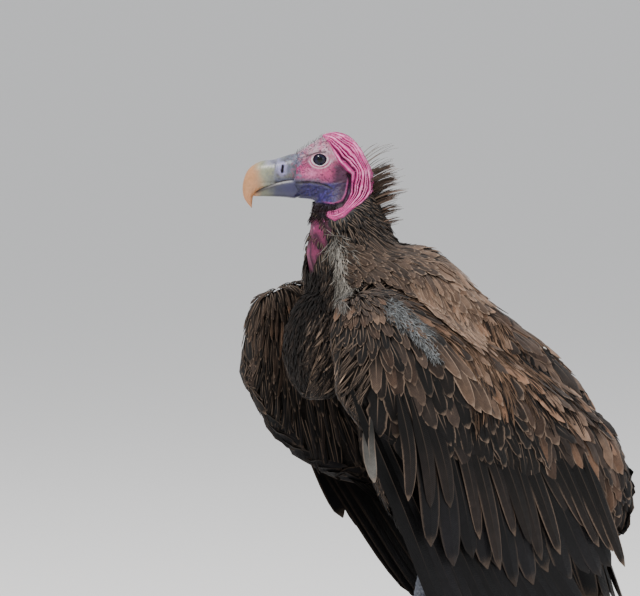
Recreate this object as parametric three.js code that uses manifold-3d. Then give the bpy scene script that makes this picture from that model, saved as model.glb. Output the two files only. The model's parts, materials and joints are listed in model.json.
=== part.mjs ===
// A lappet-faced vulture (Torgos tracheliotos), standing with its wings drooped and its head turned to its right.
// Millimetres. +Z is up, the body faces -Y and its left is +X. The feet stand on Z = 0.
// The pieces are laid out from the line between the wrists, and the whole is centred on its own box at the end.
import * as THREE from "three";
import { mergeVertices } from "three/addons/utils/BufferGeometryUtils.js";
import Module from "manifold-3d";

const wasm = await Module();
wasm.setup();

// ---- driving dimensions ----
const EYE_HEIGHT = 752; // eye above the floor, in a relaxed stance with the neck drawn in
const HEAD_AT = [-32, 34]; // middle of the head between the eyes, beside and before the body's own frame
const HEAD_TURN = -33; // degrees, seen from above: the head looks to the bird's right
const EYE_RADIUS = 12.5; // eyeball
const EYE_SPREAD = 22; // eyeball centre to the middle plane of the head
const TOE_HALF = 8.5; // half thickness of a toe at its root
const FOOT_SPREAD = 66; // foot to the body's middle plane
const FOOT_BACK = 196; // foot's centre, behind the wrists
const ANKLE = { back: 246, high: 166 }; // joint between feathered leg and scaly shank
const TAIL_FEATHERS = 12;
const PRIMARIES = 8; // those that show in the folded wing
const RUFF_ROWS = 5;
const RUFF_PER_ROW = 5;
const RUFF_BAND = 9; // how far the bases of the ruff stand out from the neck
const GAP = 0.4; // clearance between touching pieces
const LEFT = 1;
const RIGHT = -1;

const { degToRad: rad, lerp } = THREE.MathUtils;
const vec = (p) => new THREE.Vector3(...p);

// ---- making and cutting solids ----

/** A manifold-3d solid from a closed three.js geometry. */
function solidFrom(geometry) {
  const bare = geometry.clone();
  bare.deleteAttribute("normal");
  bare.deleteAttribute("uv");
  const merged = mergeVertices(bare, 1e-3);
  return new wasm.Manifold(
    new wasm.Mesh({
      numProp: 3,
      vertProperties: new Float32Array(merged.attributes.position.array),
      triVerts: new Uint32Array(merged.index.array),
    }),
  );
}

/** The three.js geometry of a manifold-3d solid. */
function geometryOf(solid) {
  const mesh = solid.getMesh();
  const positions = new Float32Array(mesh.numVert * 3);
  for (let i = 0; i < mesh.numVert; i++) {
    positions.set(mesh.vertProperties.subarray(i * mesh.numProp, i * mesh.numProp + 3), i * 3);
  }
  const geometry = new THREE.BufferGeometry();
  geometry.setAttribute("position", new THREE.BufferAttribute(positions, 3));
  geometry.setIndex(new THREE.BufferAttribute(new Uint32Array(mesh.triVerts), 1));
  return geometry;
}

/** The largest piece of a solid, so that a cut leaves no crumbs. */
function largest(solid) {
  return solid.decompose().reduce((a, b) => (a.volume() > b.volume() ? a : b));
}

/**
 * A closed body along a smooth spine: a sphere geometry whose rings are carried to the stations.
 * A station is { at, side, up, down, curl, tuck }: its centre, half width, half height above and below the spine,
 * and how far the top and bottom edges lean towards the bird's middle. side, up and down are 0 at both ends.
 */
function sweep(stations, { around = 14, along = 14, grow = 0, flat = false, upright = false, towards = 0, square = 2 } = {}) {
  const spine = new THREE.CatmullRomCurve3(stations.map((s) => vec(s.at)), false, "centripetal");
  const sizes = new THREE.CatmullRomCurve3(stations.map((s) => vec([s.side, s.up, s.down ?? s.up])));
  const leans = new THREE.CatmullRomCurve3(stations.map((s) => vec([s.curl ?? 0, s.tuck ?? 0, 0])));
  const geometry = new THREE.SphereGeometry(1, around, along);
  const position = geometry.attributes.position;
  for (let i = 0; i < position.count; i++) {
    const v = Math.acos(THREE.MathUtils.clamp(position.getY(i), -1, 1)) / Math.PI;
    const ring = Math.sin(v * Math.PI);
    const t = 0.5 * v + 0.25 * (1 - Math.cos(v * Math.PI)); // rings lie closer near the ends
    const tangent = upright ? new THREE.Vector3(0, -1, 0) : spine.getTangent(t);
    const side = flat ? new THREE.Vector3(0, 0, 1).cross(tangent).negate() : new THREE.Vector3(1, 0, 0);
    side.addScaledVector(tangent, -side.dot(tangent)).normalize();
    const up = side.clone().cross(tangent);
    const size = sizes.getPoint(t);
    const lean = leans.getPoint(t);
    const c = ring < 1e-6 ? 0 : position.getX(i) / ring;
    const s = ring < 1e-6 ? 0 : -position.getZ(i) / ring;
    const bulge = (x) => Math.sign(x) * Math.abs(x) ** (2 / square);
    const closes = Math.min(1, ring * 1e9);
    const wide = Math.max(size.x, 0) * bulge(c) * closes;
    const high = Math.max(s > 0 ? size.y : size.z, 0) * bulge(s) * closes;
    const inward = (s > 0 ? lean.x : lean.y) * s * s;
    const p = spine.getPoint(t).addScaledVector(side, wide).addScaledVector(up, high);
    p.x -= towards * inward;
    position.setXYZ(i, p.x, p.y, p.z);
  }
  return solidFrom(grow ? grown(geometry, grow) : geometry);
}

/** A closed geometry with every vertex moved out along its normal. */
function grown(geometry, distance) {
  const bare = new THREE.BufferGeometry();
  bare.setAttribute("position", geometry.attributes.position.clone());
  bare.setIndex(geometry.index);
  const merged = mergeVertices(bare, 1e-3);
  merged.computeVertexNormals();
  const { position, normal } = merged.attributes;
  for (let i = 0; i < position.count; i++) {
    position.setXYZ(
      i,
      position.getX(i) + normal.getX(i) * distance,
      position.getY(i) + normal.getY(i) * distance,
      position.getZ(i) + normal.getZ(i) * distance,
    );
  }
  return merged;
}

/** Joins several solids into one. */
const joined = (solids) => solids.reduce((a, b) => a.add(b));

/** A solid cut by each of its neighbours. */
const cutBy = (solid, cutters) => largest(cutters.reduce((a, b) => a.subtract(b), solid));

/** Everything below the floor, which flattens the undersides of the toes. */
const belowFloor = () => solidFrom(new THREE.BoxGeometry(2000, 2000, 200).translate(0, 0, -100));

// ---- head, in its own frame: forward is -Y, left is +X, and the eyes are at the origin's height ----

/** One station of the head, by its distance forward, half width, and the heights of its top and bottom. */
function headStation(forward, side, top, bottom) {
  const middle = (top + bottom) / 2;
  return { at: [0, -forward, middle], side, up: top - middle, down: middle - bottom };
}

function headSolid(grow = 0) {
  return sweep(
    [
      headStation(-75.5, 0, -38, -38),
      headStation(-72.5, 17, -18, -56),
      headStation(-63, 28, 3, -66),
      headStation(-48, 35, 26, -71),
      headStation(-30, 38, 36.5, -76),
      headStation(-12, 34.5, 38, -64),
      headStation(6, 29.5, 26, -59.5),
      headStation(22, 25, 16.5, -57),
      headStation(36, 21, 7.5, -56),
      headStation(41, 0, -22, -22),
    ],
    { around: 14, along: 14, grow, square: 2.2, upright: true },
  );
}

/** The skin flap below the ear on one side. */
function lappet(side, grow = 0) {
  return sweep(
    [
      { at: [side * 25, -14, -58], side: 0, up: 0 },
      { at: [side * 30, -2, -66], side: 7, up: 12 },
      { at: [side * 31, 18, -72], side: 8, up: 13 },
      { at: [side * 27, 36, -66], side: 7, up: 14 },
      { at: [side * 22, 48, -56], side: 0, up: 0 },
    ],
    { around: 7, along: 5, grow },
  );
}

function upperBill(grow = 0) {
  const station = (forward, high, side, up) => ({ at: [0, -forward, high], side, up });
  return sweep(
    [
      station(30, -13, 0, 0),
      station(38, -14, 20.5, 20),
      station(52, -17, 18, 18.6),
      station(64, -19.6, 17, 18.6),
      station(77, -22.8, 15.5, 20.4),
      station(88.5, -29, 12.5, 19),
      station(97, -39, 9, 13.4),
      station(101, -51, 5.4, 8),
      station(99.4, -61, 3, 4),
      station(96.4, -70, 0, 0),
    ],
    { around: 12, along: 14, grow, square: 2.15 },
  );
}

function lowerBill() {
  return sweep(
    [
      headStation(28, 0, -46, -46),
      headStation(36, 19, -30, -56),
      headStation(50, 17, -33, -54.5),
      headStation(64, 14.5, -37, -53.8),
      headStation(80, 11, -43, -53.4),
      headStation(91, 5, -49, -53.2),
      headStation(94, 0, -52, -52),
    ],
    { around: 12, along: 9, square: 2.1 },
  );
}

/** The shallow dish round an eye. */
function socket(side) {
  return solidFrom(new THREE.SphereGeometry(26, 12, 9).translate(side * (EYE_SPREAD + 31.5), 0, 0));
}

function eyeball(side, grow = 0) {
  return solidFrom(new THREE.SphereGeometry(EYE_RADIUS + grow, 12, 8).translate(side * EYE_SPREAD, 0, 0));
}

// ---- neck, ruff and trunk, in the body's frame ----

function neckSolid(grow = 0) {
  return sweep(
    [
      { at: [-4, 66, 722], side: 0, up: 0 },
      { at: [-6, 64, 706], side: 31, up: 44, down: 34 },
      { at: [-4, 58, 676], side: 43, up: 64, down: 46 },
      { at: [0, 52, 640], side: 54, up: 86, down: 51 },
      { at: [0, 54, 600], side: 66, up: 96, down: 60 },
      { at: [0, 74, 556], side: 76, up: 80, down: 66 },
      { at: [0, 92, 520], side: 0, up: 0 },
    ],
    { around: 12, along: 9, grow },
  );
}

/** The standing collar of lance-shaped feathers behind the neck. */
function ruffSolid() {
  const spikes = [];
  for (let row = 0; row < RUFF_ROWS; row++) {
    for (let i = 0; i < RUFF_PER_ROW; i++) {
      const across = (i / (RUFF_PER_ROW - 1) - 0.5) * 2;
      const turn = rad(across * 64 + HEAD_TURN * 0.3);
      const high = 766 - row * 27;
      const reach = 100 - Math.abs(across) * 16 - Math.abs(row - 2) * 4;
      const root = [Math.sin(turn) * 22, 60 + Math.cos(turn) * 16, high - 44 + row * 8];
      const tip = [Math.sin(turn) * reach * 0.85, 48 + Math.cos(turn) * reach, high];
      spikes.push(bladeSolid(root, tip, 12, 7, 6, { around: 4, along: 4 }));
    }
  }
  // the feather bases form a band round the back of the neck
  const behind = solidFrom(new THREE.BoxGeometry(160, 120, 96).translate(0, 136, 684));
  return joined(spikes).add(neckSolid(RUFF_BAND).intersect(behind));
}

/** A pointed, flattened feather from root to tip, arched by rise. */
function bladeSolid(root, tip, halfWidth, halfThick, rise = 0, { blunt = 0.62, around = 6, along = 6, flat = true } = {}) {
  const a = vec(root);
  const b = vec(tip);
  const at = (t) => {
    const p = a.clone().lerp(b, t);
    p.z += rise * 4 * t * (1 - t);
    return p.toArray();
  };
  const wide = flat ? halfWidth : halfThick;
  const high = flat ? halfThick : halfWidth;
  return sweep(
    [
      { at: at(0), side: 0, up: 0 },
      { at: at(0.12), side: wide * 0.62, up: high * 0.62 },
      { at: at(0.4), side: wide, up: high },
      { at: at(0.7), side: wide * 0.95, up: high * 0.9 },
      { at: at(0.9), side: wide * blunt, up: high * blunt },
      { at: at(1), side: 0, up: 0 },
    ],
    { around, along, flat },
  );
}

function trunkSolid(grow = 0) {
  const body = sweep(
    [
      { at: [0, 6, 548], side: 0, up: 0 },
      { at: [0, 24, 546], side: 66, up: 50, down: 70 },
      { at: [0, 74, 545], side: 106, up: 84, down: 116 },
      { at: [0, 140, 535], side: 122, up: 100, down: 132 },
      { at: [0, 220, 503], side: 118, up: 68, down: 118 },
      { at: [0, 300, 462], side: 106, up: 56, down: 98 },
      { at: [0, 370, 420], side: 92, up: 50, down: 76 },
      { at: [0, 430, 372], side: 70, up: 38, down: 54 },
      { at: [0, 470, 322], side: 0, up: 0 },
    ],
    { around: 16, along: 12, grow, square: 2.15 },
  );
  return body.add(cropSolid(grow));
}

/** The full crop that bulges from the breast. */
function cropSolid(grow = 0) {
  return sweep(
    [
      { at: [0, 22, 572], side: 0, up: 0 },
      { at: [0, 16, 552], side: 34, up: 30 },
      { at: [0, 8, 516], side: 48, up: 43 },
      { at: [0, 10, 476], side: 53, up: 48 },
      { at: [0, 22, 440], side: 46, up: 42 },
      { at: [0, 40, 418], side: 0, up: 0 },
    ],
    { around: 14, along: 9, grow },
  );
}

// ---- wings ----

/** The folded arm with its coverts and secondaries. A drooped wing is held lower and further forward. */
function wingSolid(side, droop, grow = 0) {
  const station = (x, y, z, thick, up, down, curl = 0, tuck = 0) => ({
    at: [side * x, y, z],
    side: thick,
    up,
    down,
    curl,
    tuck,
  });
  return sweep(
    [
      station(112, -32 - droop * 13, 500, 0, 0, 0),
      station(122, -18 - droop * 13, 500, 20, 72, 60, 12),
      station(136, 16 - droop * 10, 488, 29, 98, 90, 30, 10),
      station(146, 72 - droop * 6, 468, 31, 98, 130, 50, 14),
      station(148, 150, 440, 29, 92, 152, 56, 16),
      station(142, 240, 400, 26, 84, 140, 56, 18),
      station(128, 322, 360, 22, 82, 118, 48, 20),
      station(112, 400, 306, 15, 84, 92, 34, 14),
      station(98, 446, 244, 9, 62, 62, 18, 6),
      station(92, 466, 200, 0, 0, 0),
    ],
    { around: 12, along: 15, grow, towards: side, square: 2.1 },
  );
}

/** The long hand feathers that fan out below and behind the arm, from the front edge to the back. */
function primariesSolid(side, droop) {
  const first = { root: [150, 15 - 45 * droop, 445 - 15 * droop], tip: [150, 284 - 154 * droop, 105 - 20 * droop] };
  const last = { root: [142, 262, 330], tip: [84, 462, 88] };
  const blend = (from, to, t) => [side * lerp(from[0], to[0], t), lerp(from[1], to[1], t), lerp(from[2], to[2], t)];
  const blades = [];
  for (let i = 0; i < PRIMARIES; i++) {
    const t = i / (PRIMARIES - 1);
    const root = blend(first.root, last.root, t);
    const tip = blend(first.tip, last.tip, t ** 0.85);
    tip[2] -= 30 * Math.sin(t * Math.PI);
    blades.push(bladeSolid(root, tip, 30, 6.5, -14, { flat: false, around: 5, along: 5 }));
  }
  return joined(blades);
}

function tailSolid() {
  const feathers = [];
  for (let i = 0; i < TAIL_FEATHERS; i++) {
    const across = (i / (TAIL_FEATHERS - 1) - 0.5) * 2;
    const root = [across * 26, 398 - Math.abs(across) * 6, 402];
    const tip = [across * 74, 506 - 12 * across * across, 84 + 26 * across * across];
    feathers.push(bladeSolid(root, tip, 17, 6, 10, { around: 4, along: 5 }));
  }
  return joined(feathers);
}

// ---- legs ----

function thighSolid(side, grow = 0) {
  const x = side * FOOT_SPREAD;
  return sweep(
    [
      { at: [side * 56, 186, 470], side: 0, up: 0 },
      { at: [side * 60, 188, 440], side: 48, up: 60 },
      { at: [side * 66, 186, 374], side: 50, up: 62 },
      { at: [x, 198, 300], side: 41, up: 50 },
      { at: [x, 222, 232], side: 28, up: 33 },
      { at: [x, ANKLE.back - 3, 186], side: 16, up: 18 },
      { at: [x, ANKLE.back, ANKLE.high + 6], side: 0, up: 0 },
    ],
    { around: 12, along: 9, grow },
  );
}

function shankSolid(side, grow = 0) {
  const x = side * FOOT_SPREAD;
  return sweep(
    [
      { at: [x, ANKLE.back + 3, ANKLE.high + 24], side: 0, up: 0 },
      { at: [x, ANKLE.back + 1, ANKLE.high + 10], side: 11, up: 13 },
      { at: [x, ANKLE.back - 8, ANKLE.high - 14], side: 11.5, up: 12.5 },
      { at: [x, FOOT_BACK + 28, 88], side: 9.5, up: 10.5 },
      { at: [x, FOOT_BACK + 9, 40], side: 11, up: 12 },
      { at: [x, FOOT_BACK, 15], side: 17, up: 17 },
      { at: [x, FOOT_BACK - 3, 1], side: 9, up: 9 },
      { at: [x, FOOT_BACK - 3, -2], side: 0, up: 0 },
    ],
    { around: 9, along: 11, grow },
  );
}

// Each toe: its name, direction from straight ahead in degrees (outward is positive), length and claw length.
const TOES = [
  ["middle", 4, 104, 27],
  ["outer", 40, 80, 24],
  ["inner", -36, 72, 26],
  ["hind", 186, 44, 27],
];

/** A point at a distance from the foot's centre, in the direction of a toe. */
function toePoint(side, angle, distance, high) {
  const turn = rad(angle);
  return [
    side * (FOOT_SPREAD + Math.sin(turn) * distance),
    FOOT_BACK - Math.cos(turn) * distance,
    high,
  ];
}

function toeSolid(side, angle, length, grow = 0) {
  const knuckle = (share, size, high) => ({
    at: toePoint(side, angle, length * share, high),
    side: TOE_HALF * size,
    up: TOE_HALF * size,
  });
  return sweep(
    [
      knuckle(0.02, 0, 8),
      knuckle(0.1, 1, 7),
      knuckle(0.3, 1.04, 6.4),
      knuckle(0.46, 0.86, 5.6),
      knuckle(0.6, 1, 6),
      knuckle(0.78, 0.8, 5),
      knuckle(0.92, 0.92, 5.4),
      knuckle(1, 0, 6),
    ],
    { around: 6, along: 8, flat: true, grow },
  );
}

function clawSolid(side, angle, length, claw, grow = 0) {
  const point = (forward, high, size) => ({
    at: toePoint(side, angle, length * 0.9 + forward * claw, high),
    side: size * 0.85,
    up: size,
  });
  return sweep(
    [
      point(0.02, 8, 0),
      point(0.2, 9.2, 5),
      point(0.48, 10, 4.6),
      point(0.78, 7.6, 3.4),
      point(1.02, 2.9, 1.6),
      point(1.08, 0.6, 0),
    ],
    { around: 5, along: 6, flat: true, grow },
  );
}

// ---- colours and finishes ----

const finish = (color, roughness, metalness = 0) => new THREE.MeshStandardMaterial({ color, roughness, metalness });
const MATERIALS = {
  skin: finish(0xd0608c, 0.5),
  bill: finish(0xc9b48c, 0.35),
  eye: finish(0x1c1820, 0.05),
  down: finish(0x5b4f48, 0.9),
  feather: finish(0x57463b, 0.75),
  quill: finish(0x1f1b1c, 0.6),
  scale: finish(0x7f7f86, 0.6),
  claw: finish(0x1a1817, 0.35),
};

// ---- assembly ----

const model = new THREE.Group();

/** A named mesh in a group. */
function piece(group, name, solid, material) {
  const mesh = new THREE.Mesh(geometryOf(solid), material);
  mesh.name = name;
  group.add(mesh);
  return mesh;
}

const headGroup = new THREE.Group();
headGroup.position.set(HEAD_AT[0], HEAD_AT[1], EYE_HEIGHT);
headGroup.rotation.z = rad(HEAD_TURN);
headGroup.updateMatrix();
model.add(headGroup);

/** A head solid carried into the body's frame. */
const inBody = (solid) => solidFrom(geometryOf(solid).applyMatrix4(headGroup.matrix));

const sides = [
  ["left", LEFT],
  ["right", RIGHT],
];

/** The room that a piece takes up with its clearance, which is cut from its neighbours. */
const room = (make) => make(0).add(make(GAP));

const skullSolid = (grow) => joined([headSolid(grow), lappet(LEFT, grow), lappet(RIGHT, grow)]);
const skullRoom = room(skullSolid);
const eyeRooms = sides.flatMap(([, side]) => [socket(side), eyeball(side, GAP)]);
piece(headGroup, "head", cutBy(skullSolid(0), eyeRooms), MATERIALS.skin);
piece(headGroup, "bill_upper", cutBy(upperBill(), [skullRoom]), MATERIALS.bill);
piece(headGroup, "bill_lower", cutBy(lowerBill(), [skullRoom, room(upperBill)]), MATERIALS.bill);
sides.forEach(([name, side]) => piece(headGroup, `eye_${name}`, eyeball(side), MATERIALS.eye));

const headRoom = inBody(skullRoom);
const trunkRoom = room(trunkSolid);
const neckRoom = room(neckSolid);
piece(model, "trunk", trunkSolid(), MATERIALS.feather);
piece(model, "neck", cutBy(neckSolid(), [headRoom, trunkRoom]), MATERIALS.down);
piece(model, "ruff", cutBy(ruffSolid(), [headRoom, neckRoom, trunkRoom]), MATERIALS.down);
piece(model, "tail", cutBy(tailSolid(), [trunkRoom]), MATERIALS.quill);

for (const [name, side] of sides) {
  const droop = side === LEFT ? 1 : 0;
  const armRoom = room((grow) => wingSolid(side, droop, grow));
  const shankRoom = room((grow) => shankSolid(side, grow));
  const wing = cutBy(wingSolid(side, droop), [trunkRoom, neckRoom]);
  const primaries = cutBy(primariesSolid(side, droop), [armRoom, trunkRoom]);
  piece(model, `wing_${name}`, wing, MATERIALS.feather);
  piece(model, `primaries_${name}`, primaries, MATERIALS.quill);
  piece(model, `thigh_${name}`, cutBy(thighSolid(side), [trunkRoom, armRoom, shankRoom]), MATERIALS.down);
  piece(model, `shank_${name}`, largest(shankSolid(side).subtract(belowFloor())), MATERIALS.scale);
  const rooms = [shankRoom];
  for (const [toeName, angle, length, claw] of TOES) {
    const clawBody = clawSolid(side, angle, length, claw);
    const clawRoom = room((grow) => clawSolid(side, angle, length, claw, grow));
    const toe = cutBy(toeSolid(side, angle, length), [clawRoom, ...rooms]);
    rooms.push(room((grow) => toeSolid(side, angle, length, grow)));
    piece(model, `toe_${name}_${toeName}`, largest(toe.subtract(belowFloor())), MATERIALS.scale);
    piece(model, `claw_${name}_${toeName}`, largest(clawBody.subtract(belowFloor())), MATERIALS.claw);
  }
}

// the origin goes to the floor, below the middle of the whole bird
const middle = new THREE.Box3().setFromObject(model, true).getCenter(new THREE.Vector3());
model.position.set(-middle.x, -middle.y, 0);

export default model;
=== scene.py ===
"""A lappet-faced vulture, life-size: one skin with its folds, horn, eyes, claws, scales and plumage."""

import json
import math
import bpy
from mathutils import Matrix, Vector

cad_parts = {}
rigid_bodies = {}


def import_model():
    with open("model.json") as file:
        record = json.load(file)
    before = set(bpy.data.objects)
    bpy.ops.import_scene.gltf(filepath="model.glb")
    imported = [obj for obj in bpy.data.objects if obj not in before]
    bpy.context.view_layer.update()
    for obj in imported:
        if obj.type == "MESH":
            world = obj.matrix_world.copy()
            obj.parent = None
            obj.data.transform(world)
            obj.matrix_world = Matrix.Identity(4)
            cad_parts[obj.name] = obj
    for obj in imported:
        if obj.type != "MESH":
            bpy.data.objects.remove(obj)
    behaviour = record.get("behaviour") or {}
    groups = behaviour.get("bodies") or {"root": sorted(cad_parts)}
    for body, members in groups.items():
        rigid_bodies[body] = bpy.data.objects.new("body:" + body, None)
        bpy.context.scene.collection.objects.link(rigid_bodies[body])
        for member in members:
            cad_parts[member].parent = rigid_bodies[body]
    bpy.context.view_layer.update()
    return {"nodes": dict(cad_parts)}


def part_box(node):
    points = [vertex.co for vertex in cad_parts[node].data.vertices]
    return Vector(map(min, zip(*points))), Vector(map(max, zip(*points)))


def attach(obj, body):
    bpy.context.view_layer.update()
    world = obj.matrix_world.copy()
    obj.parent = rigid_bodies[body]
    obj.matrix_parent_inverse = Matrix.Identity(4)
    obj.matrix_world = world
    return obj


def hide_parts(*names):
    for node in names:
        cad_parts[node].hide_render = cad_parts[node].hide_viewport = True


bl_info = {
    "name": "Lappet-faced Vulture",
    "version": (1, 0, 0),
    "blender": (4, 5, 0),
    "location": "3D View > Sidebar > Vulture",
    "description": "Builds the bird's skin, bill, eyes, claws, scales and feathers round its frame",
    "category": "Add Mesh",
}

import bpy
import numpy as np
from mathutils import Matrix, Vector, noise
from mathutils.bvhtree import BVHTree

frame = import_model()

# ---- sizes shared by several pieces, in millimetres unless they say otherwise ----
MM = 0.001
SIDES = (("left", 1.0), ("right", -1.0))
HEAD_AT = (-32.0, 34.0)  # middle of the head, in the layout's own frame
HEAD_TURN = -33.0  # degrees about Z
EYE_SPREAD = 22.0
EYE_RADIUS = 12.5
TOES = (("middle", 4, 104, 27), ("outer", 40, 80, 24), ("inner", -36, 72, 26), ("hind", 186, 44, 27))
FOOT_SPREAD = 66.0
FOOT_BACK = 196.0
FLESH = (
    ["head", "neck", "trunk"] + [f"{part}_{side}" for part in ("wing", "thigh", "shank") for side,
    _ in SIDES]
)
TOE_NODES = [f"toe_{side}_{toe[0]}" for side, _ in SIDES for toe in TOES]


def eye_middle():
    """The point midway between the eyes, in metres, which fixes where the layout's own frame lies."""
    low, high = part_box("eye_left")
    low_right, high_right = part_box("eye_right")
    return (low + high + low_right + high_right) / 4


EYES = eye_middle()
LAYOUT = np.array([EYES.x - HEAD_AT[0] * MM, EYES.y - HEAD_AT[1] * MM, 0.0])
HEAD = Matrix.Translation(EYES) @ Matrix.Rotation(math.radians(HEAD_TURN), 4, "Z")


def laid_out(points):
    """Layout millimetres to metres in the row's frame."""
    return np.asarray(points, float) * MM + LAYOUT


def from_head(points):
    """Head millimetres (left, forward, up) to metres in the row's frame."""
    p = np.asarray(points, float).reshape(-1, 3)
    local = np.stack([p[:, 0], -p[:, 1], p[:, 2]], 1) * MM
    turn = np.array(HEAD.to_3x3())
    return local @ turn.T + np.array(HEAD.translation)


def to_head(points):
    """Metres in the row's frame to head millimetres: left, forward, up."""
    turn = np.array(HEAD.to_3x3())
    local = (np.asarray(points) - np.array(HEAD.translation)) @ turn / MM
    return local[:, 0], -local[:, 1], local[:, 2]


# ---- small numeric helpers ----


def ease(low, high, value):
    """0 below low, 1 above high, and smooth between."""
    t = np.clip((np.asarray(value, float) - low) / (high - low), 0, 1)
    return t * t * (3 - 2 * t)


def bump(value, width):
    """A smooth hump of height 1 at value 0."""
    return np.exp(-((np.asarray(value, float) / width) ** 2))


def curve_through(points, t):
    """Catmull-Rom through the points, sampled at t from 0 to 1."""
    p = np.asarray(points, float)
    t = np.clip(np.asarray(t, float), 0, 1) * (len(p) - 1)
    i = np.minimum(t.astype(int), len(p) - 2)
    k = (t - i)[:, None]
    ends = np.vstack([2 * p[0] - p[1], p, 2 * p[-1] - p[-2]])
    a, b, c, d = ends[i], ends[i + 1], ends[i + 2], ends[i + 3]
    return 0.5 * (2 * b + (c - a) * k + (2 * a - 5 * b + 4 * c - d) * k**2 + (3 * b - a - 3 * c + d) * k**3)


def line_distance(px, py, points):
    """Distance to a chain of points, its side (1 on the left) and how far along it is, from 0 to 1."""
    best = np.full(len(px), 1e9)
    side = np.ones(len(px))
    along = np.zeros(len(px))
    count = len(points) - 1
    for i, ((ax, ay), (bx, by)) in enumerate(zip(points, points[1:])):
        dx, dy = bx - ax, by - ay
        t = np.clip(((px - ax) * dx + (py - ay) * dy) / (dx * dx + dy * dy), 0, 1)
        qx, qy = px - ax - t * dx, py - ay - t * dy
        distance = np.hypot(qx, qy)
        nearer = distance < best
        best = np.where(nearer, distance, best)
        side = np.where(nearer, np.sign(dx * qy - dy * qx), side)
        along = np.where(nearer, (i + t) / count, along)
    return best, side, along


def rough(points, size, seed=0):
    """Smooth noise from -1 to 1 at each point, with features of that size, both in the same unit."""
    shift = Vector((seed * 17.3, seed * 5.1, seed * 9.7))
    return np.array([noise.noise(Vector(p) / size + shift) for p in points])


# ---- colour ----


def linear(code):
    """An sRGB hex colour as linear RGB."""
    values = [int(code[i : i + 2], 16) / 255 for i in (1, 3, 5)]
    return np.array([c / 12.92 if c <= 0.04045 else ((c + 0.055) / 1.055) ** 2.4 for c in values])


# ---- objects and meshes ----


def activate(*objects):
    """These objects, and no others, are selected, and the first is active."""
    bpy.ops.object.select_all(action="DESELECT")
    for obj in objects:
        obj.select_set(True)
    bpy.context.view_layer.objects.active = objects[0]


def apply_modifier(obj, kind, **settings):
    """Runs one modifier with its settings on the object."""
    activate(obj)
    modifier = obj.modifiers.new(kind.title(), kind)
    for key, value in settings.items():
        setattr(modifier, key, value)
    bpy.ops.object.modifier_apply(modifier=modifier.name)


def mesh_values(items, name, parts, kind=float):
    """One property of a mesh's points, edges, corners or faces, with a row for each."""
    values = np.empty(len(items) * parts, kind)
    items.foreach_get(name, values)
    return values.reshape(-1, parts)


def points_of(obj):
    """The mesh's points, in metres."""
    return mesh_values(obj.data.vertices, "co", 3)


def normals_of(obj):
    """The mesh's normals at its points."""
    return mesh_values(obj.data.vertices, "normal", 3)


def move_points(obj, points):
    """Puts the mesh's points at these places."""
    obj.data.vertices.foreach_set("co", np.ascontiguousarray(points, float).ravel())
    obj.data.update()


def edges_of(obj):
    """The two points of each edge."""
    return mesh_values(obj.data.edges, "vertices", 2, int)


def relaxed(values, edges, rounds):
    """Values at the points of a mesh, averaged with their neighbours."""
    values = np.asarray(values, float)
    flat = values.ndim == 1
    values = values.reshape(len(values), -1).copy()
    count = np.bincount(edges.ravel(), minlength=len(values)).astype(float)[:, None]
    for _ in range(rounds):
        total = np.zeros_like(values)
        for column in range(values.shape[1]):
            total[:, column] = np.bincount(edges[:, 0], values[edges[:, 1], column], len(values))
            total[:, column] += np.bincount(edges[:, 1], values[edges[:, 0], column], len(values))
        values = 0.5 * values + 0.5 * total / np.maximum(count, 1)
    return values[:, 0] if flat else values


def set_attribute(obj, name, values):
    """Stores one colour or vector at each point of the mesh."""
    values = np.asarray(values, float)
    full = np.ones((len(values), 4))
    full[:, : values.shape[1]] = values
    attribute = obj.data.attributes.new(name, "FLOAT_COLOR", "POINT")
    attribute.data.foreach_set("color", full.ravel())


def mesh_object(name, points, faces):
    """An object made of points and of faces that all have as many corners."""
    mesh = bpy.data.meshes.new(name)
    faces = np.asarray(faces, np.int32)
    mesh.vertices.add(len(points))
    mesh.vertices.foreach_set("co", np.ascontiguousarray(points, float).ravel())
    mesh.loops.add(faces.size)
    mesh.loops.foreach_set("vertex_index", faces.ravel())
    mesh.polygons.add(len(faces))
    mesh.polygons.foreach_set("loop_start", np.arange(0, faces.size, faces.shape[1], dtype=np.int32))
    mesh.update(calc_edges=True)
    mesh.validate()
    obj = bpy.data.objects.new(name, mesh)
    bpy.context.scene.collection.objects.link(obj)
    mesh.polygons.foreach_set("use_smooth", np.ones(len(faces), bool))
    return obj


def finished(obj, material, replaced=()):
    """Gives a piece its material and its place in the frame."""
    obj.data.materials.clear()
    obj.data.materials.append(material)
    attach(obj, "root")
    if replaced:
        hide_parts(*replaced)
    return obj


def tree_of(obj):
    """A search tree of the mesh's surface."""
    mesh = obj.data
    mesh.calc_loop_triangles()
    return BVHTree.FromPolygons([v.co for v in mesh.vertices], [t.vertices for t in mesh.loop_triangles])


# ---- materials ----


def feed(node, inputs):
    """Sets a node's inputs; what feeds one is a value, a socket, or a node whose first output is meant."""
    for key, value in inputs.items():
        if isinstance(value, bpy.types.Node):
            value = next(socket for socket in value.outputs if not socket.is_unavailable)
        if isinstance(value, bpy.types.NodeSocket):
            node.id_data.links.new(value, node.inputs[key])
        else:
            node.inputs[key].default_value = value
    return node


def add_node(tree, kind, inputs=None, **settings):
    """Adds a shader node with its settings and what feeds it."""
    node = tree.nodes.new(kind)
    for key, value in settings.items():
        setattr(node, key, value)
    return feed(node, inputs or {})


def new_material(name):
    """An empty material with its shader and output joined."""
    material = bpy.data.materials.new(name)
    material.use_nodes = True
    tree = material.node_tree
    tree.nodes.clear()
    shader = add_node(tree, "ShaderNodeBsdfPrincipled")
    add_node(tree, "ShaderNodeOutputMaterial", {"Surface": shader})
    return material, tree, shader


RANGE = ("Value", "From Min", "From Max", "To Min", "To Max")


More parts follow.
